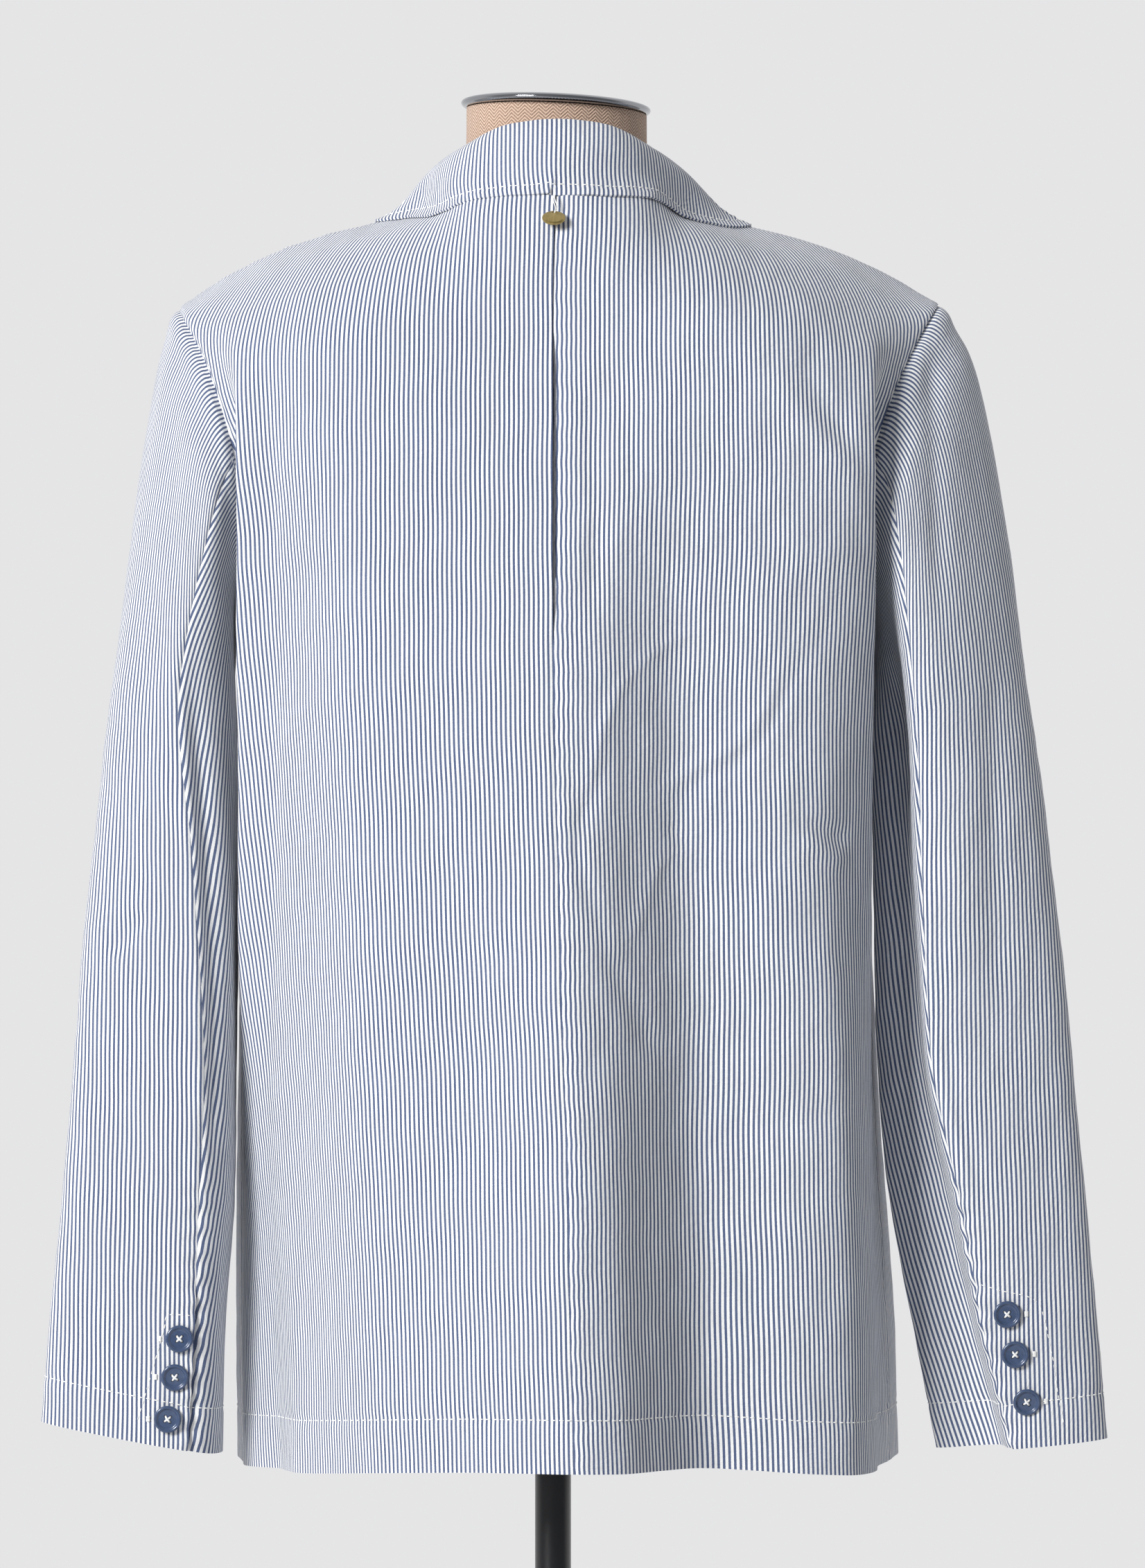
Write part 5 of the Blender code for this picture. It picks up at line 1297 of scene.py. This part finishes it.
STITCH_STEP, STITCH_LONG, STITCH_RADIUS = 0.0042, 0.0030, 0.00034
LINES = {f"hem_{part}_{side}": (f"{part}_{side}", "bottom", BODY_HEM)
         for part in ("back", "front") for side in SIDES}
LINES |= {f"cuff_{part}_{side}": (f"{part}_sleeve_{side}", "top", CUFF_HEM)
          for side in SIDES for part in ("upper", "under")}
LINES["collar_edge"] = ("collar", "last", EDGE_STITCHES)
LINES |= {f"front_edge_{side}": (f"front_{side}", "last", EDGE_STITCHES, 0.0, 0.55) for side in SIDES}
LINES |= {f"lapel_edge_{side}": (f"lapel_{side}", "last", EDGE_STITCHES) for side in SIDES}
for line, where in LINES.items():
    path, up = seam_of(*where)
    spot, way, up = even_path(path, up, STITCH_STEP)
    stitch_mesh(f"stitches_{line}", spot, way, up, STITCH_LONG, STITCH_RADIUS)
    print(line, len(spot), "stitches")

# %% [markdown]
# ## Buttons
#
# The cuffs have three four-hole buttons each, cast in glossy slate-blue resin with a
# raised rim. A profile turned round an axis gives the body, four small cutters make
# the holes, and two crossed loops of white thread hold it on.

# %% Turned shapes
def lathe(profile, sides):
    """Points and faces of a profile of (radius, height) turned round the z axis: each
    ring is (r cos a, r sin a, h)."""
    turn = np.arange(sides) * 2 * math.pi / sides
    profile = np.array(profile, float)
    points = np.stack([profile[:, :1] * np.cos(turn), profile[:, :1] * np.sin(turn),
                       profile[:, 1:] + 0 * turn], axis=-1)
    return points.reshape(-1, 3), ring_quads(len(profile), sides)


def tidy(mesh, crease=35):
    """Merges doubled points, turns all faces outward and shades the mesh smooth."""
    shape = bmesh.new()
    shape.from_mesh(mesh)
    bmesh.ops.remove_doubles(shape, verts=shape.verts, dist=1e-6)
    bmesh.ops.dissolve_degenerate(shape, edges=shape.edges, dist=1e-7)
    bmesh.ops.recalc_face_normals(shape, faces=shape.faces)
    shape.to_mesh(mesh)
    shape.free()
    mesh.shade_smooth()
    mesh.set_sharp_from_angle(angle=math.radians(crease))


def rounded(profile, radius, steps=4):
    """A profile with its corners rounded: each is cut back and bridged by a curve whose
    middle is drawn to the corner (a quadratic Bezier curve)."""
    profile = np.array(profile, float)
    made = [profile[0]]
    for before, corner, after in zip(profile[:-2], profile[1:-1], profile[2:]):
        one, two = before - corner, after - corner
        cut = min(radius, 0.45 * np.linalg.norm(one), 0.45 * np.linalg.norm(two))
        start, end = corner + one / np.linalg.norm(one) * cut, corner + two / np.linalg.norm(two) * cut
        for t in np.linspace(0, 1, steps):
            made.append(start * (1 - t) ** 2 + 2 * corner * t * (1 - t) + end * t**2)
    made.append(profile[-1])
    return np.array(made)


# Cast polyester resin, polished: deep blue with a clear gloss and a faint swirl.
resin = new_material("cast_polyester_resin", 0.22, Coat_Weight=0.5, Coat_Roughness=0.08)
swirl = noise(resin, own_place(resin), "3D", Scale=260.0, Detail=3.0, Distortion=1.5)
wire(resin, mixed(resin, swirl, linear("#2E3F5C"), linear("#48597A")), "Base Color")

# The button's outline, as shares of its radius and its thickness.
BUTTON_PROFILE = ((0, 0), (0.60, 0), (0.88, 0.16), (0.985, 0.42), (1.0, 0.62), (0.985, 0.82),
                  (0.93, 0.96), (0.86, 1.0), (0.79, 0.93), (0.74, 0.76), (0.69, 0.64), (0.60, 0.60),
                  (0.35, 0.585), (0, 0.58))
BUTTON_THICK = 0.0028
BUTTON_OFF = 0.0004     # off the cloth
HOLE_RADIUS, HOLE_RING, THREAD_RING = 0.105, 0.27, 0.30     # as shares of its radius


def frame_at(point, normal):
    """A matrix that stands z on the normal at the point."""
    return Matrix.Translation(Vector(point)) @ Vector(normal).to_track_quat("Z", "Y").to_matrix().to_4x4()


def drilled(thing, radius, depth, place):
    """Cuts a round hole along z through a mesh, by Boolean."""
    bpy.ops.mesh.primitive_cylinder_add(vertices=24, radius=radius, depth=depth,
                                        location=[float(v) for v in place])
    drill = bpy.context.object
    cut = thing.modifiers.new("hole", "BOOLEAN")
    cut.object = drill
    cut.solver = "EXACT"
    made = bpy.data.meshes.new_from_object(thing.evaluated_get(bpy.context.evaluated_depsgraph_get()))
    thing.modifiers.clear()
    thing.data = made
    bpy.data.objects.remove(drill)


def tubes(paths, radius, sides):
    """Round tubes along paths: rings of points square to each path, closed to a point at
    both ends."""
    every_point, every_quad, start = [], [], 0
    turn = np.arange(sides) * 2 * math.pi / sides
    for path in paths:
        way = np.gradient(path, axis=0)
        way /= np.maximum(np.linalg.norm(way, axis=1, keepdims=True), 1e-12)
        side = np.cross(way, np.where(np.abs(way[:, 2:]) > 0.9, [[1.0, 0, 0]], [[0, 0, 1.0]]))
        side /= np.linalg.norm(side, axis=1, keepdims=True)
        over = np.cross(side, way)
        wide = np.full(len(path), radius)
        wide[[0, -1]] = 0
        ring = (path[:, None] + wide[:, None, None] * (side[:, None] * np.cos(turn)[None, :, None]
                                                       + over[:, None] * np.sin(turn)[None, :, None]))
        every_quad.append(ring_quads(len(path), sides, start))
        every_point.append(ring.reshape(-1, 3))
        start += len(path) * sides
    return np.concatenate(every_point), np.concatenate(every_quad)


def sewn_thread(name, paths, radius, sides, place=None):
    """White thread along paths, as one piece."""
    points, quads = tubes(paths, radius, sides)
    thing = put_mesh(name, points, quads, material=thread)
    tidy(thing.data, 60)
    if place is not None:
        thing.data.transform(place)
    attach(thing, "root")


def button(name, node_name, diameter, point, normal, turned_by):
    """A button on the cloth: lathe, four holes cut by Boolean, then moved in its mesh."""
    radius = diameter / 2
    points, quads = lathe([(r * radius, h * BUTTON_THICK) for r, h in rounded(BUTTON_PROFILE, 0.05, 3)], 64)
    thing = put_mesh(name, points, quads, material=resin)
    tidy(thing.data)
    ways = [np.array([math.cos(a), math.sin(a), 0.0]) for a in np.radians([45, 135, 225, 315])]
    for way in ways:
        drilled(thing, radius * HOLE_RADIUS, BUTTON_THICK * 3, way * radius * HOLE_RING)
    tidy(thing.data, 30)
    turn = Matrix.Rotation(math.radians(turned_by), 4, "Z")
    place = frame_at(np.array(point) + np.array(normal) * BUTTON_OFF, normal) @ turn
    thing.data.transform(place)
    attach(thing, "root")
    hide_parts(node_name)
    # Two crossed loops of thread: flat on top, and falling steeply into the holes.
    t = np.linspace(-1, 1, 13)[:, None]
    loops = []
    for k, way in enumerate(ways[:2]):
        height = BUTTON_THICK * (0.62 + 0.22 * k) * (1 - np.abs(t) ** 5) + 0.0002 * np.cos(t * math.pi / 2)
        loops.append(t * radius * THREAD_RING * way + height * [0, 0, 1])
    sewn_thread(f"thread_{name}", loops, 0.00058, 10, place)


# %% Sew the buttons on
# Each cuff button's middle as (x, z), read off the photograph.
BUTTONS = {"cuff_button_left_1": (-0.2040, 0.697), "cuff_button_left_2": (-0.2065, 0.676),
           "cuff_button_left_3": (-0.2105, 0.653), "cuff_button_right_1": (0.2480, 0.7105),
           "cuff_button_right_2": (0.2525, 0.6885), "cuff_button_right_3": (0.2590, 0.6625)}
CUFF_BUTTON, FRONT_BUTTON = 0.015, 0.020
FRONT_BUTTON_HEIGHTS = (0.965, 0.860)
TACK_ROWS = (-0.0011, -0.0004, 0.0004, 0.0011)
TACK_FROM, TACK_TO = 0.0092, 0.0120     # from the button's middle, outward
TACK_RADIUS, TACK_OFF = 0.00048, 0.00035
sleeve_trees = {side: tree_of(bent[f"upper_sleeve_{side}"]) for side in SIDES}
for number, (name, (x, z)) in enumerate(BUTTONS.items()):
    side, mirror = ("left", -1) if "left" in name else ("right", 1)
    point, normal = seen_from(sleeve_trees[side], x, z, -1)
    normal = normal + seen_from(sleeve_trees[side], x + mirror * 0.006, z, -1)[1]
    normal /= np.linalg.norm(normal)
    button(f"sewn_{name}", name, CUFF_BUTTON, point, normal, 9 * math.sin(number * 2.3))
    # The bar tack that ends the buttonhole: four short threads, side by side.
    bars = []
    for rise in TACK_ROWS:
        hits = [seen_from(sleeve_trees[side], x + mirror * out, z + rise, -1)
                for out in np.linspace(TACK_FROM, TACK_TO, 5)]
        bars.append(np.array([hit[0] + hit[1] * TACK_OFF for hit in hits]))
    sewn_thread(f"tack_{name}", bars, TACK_RADIUS, 8)
front_tree = tree_of(bent["front_right"])
for number, z in enumerate(FRONT_BUTTON_HEIGHTS, 1):
    point, normal = seen_from(front_tree, 0.0, z, 1)
    button(f"sewn_front_button_{number}", f"front_button_{number}", FRONT_BUTTON, point, normal, 5 * number)
print(len(BUTTONS) + 2, "buttons")

# %% [markdown]
# ## The placket's stitches
#
# Each cuff opens in a short vent, and a line of white stitches holds the fold inside
# it: slanting across above the buttons, then down beside them to the hem. We name a few
# points of that line as (x, z) and drop them onto the bent cloth from behind.

# %% Stitches round the cuff's vent
PLACKETS = {"left": ((-0.1972, 0.7095), (-0.2010, 0.7098), (-0.2105, 0.7095), (-0.2120, 0.7030),
                     (-0.2166, 0.6868), (-0.2192, 0.6777), (-0.2242, 0.6610), (-0.2272, 0.6515)),
            "right": ((0.2332, 0.7266), (0.2440, 0.7235), (0.2640, 0.7176), (0.2690, 0.7060),
                      (0.2712, 0.6953), (0.2735, 0.6850), (0.2750, 0.6737), (0.2773, 0.6608),
                      (0.2795, 0.6500))}
PLACKET_POINTS, PLACKET_STITCH, PLACKET_RADIUS = 60, 0.0027, 0.00027
for side, named in PLACKETS.items():
    line = through(named, np.linspace(0, len(named) - 1, PLACKET_POINTS))
    hits = [seen_from(sleeve_trees[side], x, z, -1) for x, z in line]
    spot, way, up = even_path(*(np.array([hit[k] for hit in hits]) for k in (0, 1)), STITCH_STEP)
    stitch_mesh(f"stitches_placket_{side}", spot, way, up, PLACKET_STITCH, PLACKET_RADIUS)
    print("placket", side, len(spot), "stitches")

# %% [markdown]
# ## The small metal disc
#
# A bare disc of brass hangs on a loop of thread at the collar's middle. It is turned
# from a flat profile with softened edges, and a small hole near its top takes the loop.

# %% Disc and loop
# Brushed brass, lacquered: warm yellow, with a soft glint that follows the scratches.
brass = new_material("brushed_brass", 0.34, Metallic=1.0)
stretched = node(brass, "Mapping", {"vector_type": "POINT"}, Vector=own_place(brass), Scale=(1, 0.15, 0.15))
scratch = noise(brass, stretched.outputs[0], "3D", Scale=900.0, Detail=4.0)
wire(brass, mixed(brass, scratch, linear("#8F7B45"), linear("#CDB77C")), "Base Color")
bumped(brass, scratch, 0.2, 0.0002)

DISC_PLACE = (0.0007, -0.0868, 1.3062)
DISC_TILT = 90 - 52     # degrees: its face looks up and back
DISC_RADIUS, DISC_HALF = 0.0063, 0.0009             # DISC_HALF is half its thickness
DISC_HOLE = (0, 0.0044, 0)
THREAD_ANCHOR = (0.0012, -0.0790, 1.3195)           # where the loop leaves the collar
disc_outline = [(0, DISC_HALF), (DISC_RADIUS - 0.0009, DISC_HALF), (DISC_RADIUS - 0.0006, DISC_HALF - 0.0002),
                (DISC_RADIUS, DISC_HALF - 0.0004), (DISC_RADIUS, 0.0004 - DISC_HALF),
                (DISC_RADIUS - 0.0006, -DISC_HALF), (0, -DISC_HALF)]
points, quads = lathe(rounded(disc_outline, 0.0003, 3), 72)
disc = put_mesh("hanging_disc", points, quads, material=brass)
tidy(disc.data)
drilled(disc, 0.0009, 0.01, DISC_HOLE)
tidy(disc.data, 30)
disc_frame = Matrix.Translation(DISC_PLACE) @ Matrix.Rotation(math.radians(DISC_TILT), 4, "X")
disc.data.transform(disc_frame)
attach(disc, "root")
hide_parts("metal_disc")
# The loop's two strands bow out by half sine waves, and the first one twists.
t = np.linspace(0, 1, 30)[:, None]
bow = np.sin(t * math.pi)
strand = (np.array(disc_frame @ Vector(DISC_HOLE)) * (1 - t) + np.array(THREAD_ANCHOR) * t
          + bow * [0.0, -0.0022, 0.0] + np.sin(t * 2 * math.pi) * [0.0007, 0, 0])
sewn_thread("disc_thread_loop", [strand, strand + bow * [0.0012, 0.0004, 0]], 0.0003, 10)
print("disc", round(DISC_RADIUS * 2000, 1), "mm across")

# %% [markdown]
# ## The dress form
#
# The form is a smooth torso under a woven cover. Only its neck shows here, but it is
# whole. Each level is a rounded section, and curves through the levels give a fine
# surface. Its cover is a herringbone weave in two tans.

# %% The form's levels
# Height, half width, depth to the back and to the front, and the power of its rounding.
FORM_ROWS = (
    (0.690, 0.138, -0.076, 0.086, 2.1), (0.700, 0.147, -0.083, 0.093, 2.1),
    (0.760, 0.154, -0.086, 0.098, 2.1), (0.820, 0.147, -0.082, 0.092, 2.1),
    (0.900, 0.124, -0.074, 0.086, 2.1), (0.960, 0.128, -0.075, 0.098, 2.1),
    (1.040, 0.142, -0.079, 0.112, 2.1), (1.100, 0.148, -0.084, 0.102, 2.1),
    (1.150, 0.148, -0.086, 0.082, 2.1), (1.200, 0.148, -0.083, 0.060, 2.1),
    (1.235, 0.152, -0.074, 0.046, 2.0), (1.262, 0.156, -0.066, 0.036, 1.9),
    (1.282, 0.157, -0.047, 0.024, 1.8), (1.2918, 0.146, -0.040, 0.018, 1.7),
    (1.3008, 0.127, -0.034, 0.013, 1.7), (1.3080, 0.099, -0.030, 0.010, 1.7),
    (1.3140, 0.074, -0.034, 0.014, 1.8), (1.322, 0.0590, -0.044, 0.034, 2.0),
    (1.334, 0.0530, -0.047, 0.042, 2.0), (1.350, 0.0505, -0.048, 0.044, 2.0),
    (1.3732, 0.0495, -0.048, 0.045, 2.0),
)
FORM_NECK = (0.0500, -0.046, 0.042, 2.0)    # the neck's own section, without a height
FORM_NECK_FROM = 1.270
FORM_FINE = 128         # points round a level
FORM_STEPS = 5          # fine levels for each named one
CAP_RINGS = 4           # rings across each closed end
NECK_TILT = 2.5         # degrees, from 1.33 m up to the top
NECK_TILT_FROM = 1.33
NECK_SHIFT_FROM, NECK_SHIFT_OVER = 1.28, 0.05   # where the levels move to the neck's middle


def form_ring(rows):
    """Rings of rounded sections: in each direction the reach is where
    |x / a| to the power n plus |y / b| to the power n is 1, and above the shoulders it
    is no less than the neck's."""
    turn = np.arange(FORM_FINE) * 2 * math.pi / FORM_FINE
    c, s = np.cos(turn), np.sin(turn)

    def reach(way, half_width, back, front, power):
        depth = np.where(way[1] < 0, -back, front)
        return ((np.abs(way[0]) / half_width) ** power + (np.abs(way[1]) / depth) ** power) ** (-1 / power)

    rings = []
    for z, half_width, back, front, power in rows:
        way = np.stack([half_width * c, np.where(s < 0, -back, front) * s])
        way /= np.linalg.norm(way, axis=0)
        far = reach(way, half_width, back, front, power)
        if z > FORM_NECK_FROM:
            far = np.maximum(far, reach(way, *FORM_NECK))
        x, y = way * far
        near_top = max(0.0, (z - NECK_TILT_FROM) / (FORM_ROWS[-1][0] - NECK_TILT_FROM))
        middle = NECK_X * min(1.0, max(0.0, (z - NECK_SHIFT_FROM) / NECK_SHIFT_OVER))
        lean = -x * math.tan(math.radians(NECK_TILT)) * near_top
        rings.append(np.stack([x + middle, y, z + lean], axis=1))
    return np.array(rings)


form_grid = through(form_ring(FORM_ROWS), even_steps(len(FORM_ROWS), FORM_STEPS))
form_around = np.concatenate([form_grid, form_grid[:, :1]], axis=1)
form_uv = np.stack([run_length(form_around, 1) * 1000, form_around[..., 2] * 1000], axis=-1)
form_points, form_places = [form_around.reshape(-1, 3)], [form_uv.reshape(-1, 2)]
form_quads = [grid_quads(len(form_grid), FORM_FINE + 1)]
inward = np.linspace(0, 1, CAP_RINGS)[:, None, None]
for end in (form_around[0], form_around[-1]):
    form_quads.append(grid_quads(CAP_RINGS, FORM_FINE + 1) + sum(len(part) for part in form_points))
    cap = end[None] * (1 - inward) + end[:-1].mean(axis=0) * inward
    form_points.append(cap.reshape(-1, 3))
    form_places.append(cap[..., :2].reshape(-1, 2) * 1000)

# Woven cotton cover, tan on tan: small slanting ribs that turn back every few threads.
cover = new_material("herringbone_cotton_cover", 0.9, Sheen_Weight=0.15)
cover_place = node(cover, "UVMap", {"uv_map": "flat"}).outputs["UV"]
cover_uv = node(cover, "SeparateXYZ", _0=cover_place)
zigzag = sums(cover, "PINGPONG", cover_uv.outputs[0], 4.0)
slant = sums(cover, "MULTIPLY_ADD", zigzag, 0.9, cover_uv.outputs[1])
ribs = sums(cover, "PINGPONG", sums(cover, "MULTIPLY", slant, 1 / 1.9), 0.5)
rib = ranged(cover, ribs, 0.1, 0.4, steps="SMOOTHSTEP")
fleck = noise(cover, cover_place, "2D", Scale=1.3, Detail=3.0)
uneven = sums(cover, "MULTIPLY_ADD", fleck, 0.5, sums(cover, "MULTIPLY", rib, 0.6))
wire(cover, mixed(cover, uneven, linear("#7F6150"), linear("#EBCDB6")), "Base Color")
bumped(cover, uneven, 0.9, 0.0006)
form = put_mesh("form_cover", np.concatenate(form_points), np.concatenate(form_quads),
                np.concatenate(form_places), cover)
tidy(form.data, 50)
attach(form, "root")
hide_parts("form_body")
print("form", len(form.data.polygons), "faces")

# %% [markdown]
# ## Cap and stand
#
# Metal parts are turned on a lathe in real life, and so they are here: one profile
# each, with softened corners, because a sharp corner catches no light.

# %% Turned metal
# Chrome plate on brass: a mirror with the faintest haze.
chrome = new_material("polished_chrome_plate", 0.09, Metallic=1.0, Base_Color=linear("#9C9EA2"))
haze = noise(chrome, own_place(chrome), "3D", Scale=60.0, Detail=4.0)
wire(chrome, ranged(chrome, haze, low=0.05, high=0.16), "Roughness")
# Stoved black lacquer on steel: deep black, glossy, with a slight orange peel.
lacquer = new_material("stoved_black_lacquer", 0.32, Base_Color=linear("#101114"), Coat_Weight=0.3,
                       Coat_Roughness=0.16)
peel = noise(lacquer, own_place(lacquer), "3D", Scale=420.0, Detail=2.0)
wire(lacquer, ranged(lacquer, peel, low=0.26, high=0.38), "Roughness")
bumped(lacquer, peel, 0.15, 0.0001)


def metal(name, node_name, profile, material, corner, place=None, sides=96):
    """A turned piece that stands in for a CAD node, with rounded corners. A profile that
    doesn't start on the axis is closed, and becomes a ring."""
    outline = rounded(profile, corner)
    if profile[0][0] > 0:
        outline = np.concatenate([outline, outline[:1]])
    points, quads = lathe(outline, sides)
    thing = put_mesh(name, points, quads, material=material)
    tidy(thing.data, 30)
    if place is not None:
        thing.data.transform(place)
    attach(thing, "root")
    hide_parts(node_name)


FIT = 0.00035           # between two metal parts that touch
CAP_RADIUS, CAP_THICK = 0.0528, 0.0045
POLE_RADIUS, BASE_RADIUS, BASE_THICK = 0.010, 0.170, 0.010
FLANGE_RADIUS, FLANGE_THICK = 0.034, 0.004
cap_turn = Matrix.Rotation(math.radians(NECK_TILT), 4, "Y")
cap_place = Matrix.Translation((0.0015, -0.0015, FORM_ROWS[-1][0] + FIT)) @ cap_turn
bottom = FORM_ROWS[0][0] - FIT
flange_foot = bottom - FLANGE_THICK
pole_top, pole_foot = flange_foot - FIT, BASE_THICK + FIT
metal("turned_neck_cap", "neck_cap",
      [(0, CAP_THICK + 0.003), (CAP_RADIUS * 0.6, CAP_THICK + 0.002), (CAP_RADIUS - 0.003, CAP_THICK),
       (CAP_RADIUS - 0.0006, CAP_THICK - 0.001), (CAP_RADIUS, CAP_THICK * 0.5), (CAP_RADIUS - 0.0006, 0.001),
       (CAP_RADIUS - 0.002, 0), (0, 0)], chrome, 0.0012, cap_place)
metal("turned_flange", "flange",
      [(0, bottom), (FLANGE_RADIUS, bottom), (FLANGE_RADIUS, flange_foot), (0, flange_foot)], lacquer, 0.0012)
metal("turned_pole", "pole",
      [(0, pole_top), (POLE_RADIUS, pole_top), (POLE_RADIUS, pole_foot), (0, pole_foot)],
      lacquer, 0.0006, sides=64)
metal("turned_boss", "boss",
      [(POLE_RADIUS + FIT, 0.040), (0.018, 0.040), (0.022, 0.034), (0.022, pole_foot),
       (POLE_RADIUS + FIT, pole_foot)], lacquer, 0.0012)
metal("turned_base", "base",
      [(0, BASE_THICK), (0.158, BASE_THICK), (0.167, 0.007), (BASE_RADIUS, 0.003), (BASE_RADIUS, 0), (0, 0)],
      lacquer, 0.0015, sides=144)
print("stand is turned")

# %% [markdown]
# ## How each piece was cut
#
# Every sheet of cloth gets its real flat size, as the cutter would lay it out. The
# numbers are those of what shows, measured along the cloth.

for name, thing in pieces.items():
    side = name.rsplit("_")[-1]
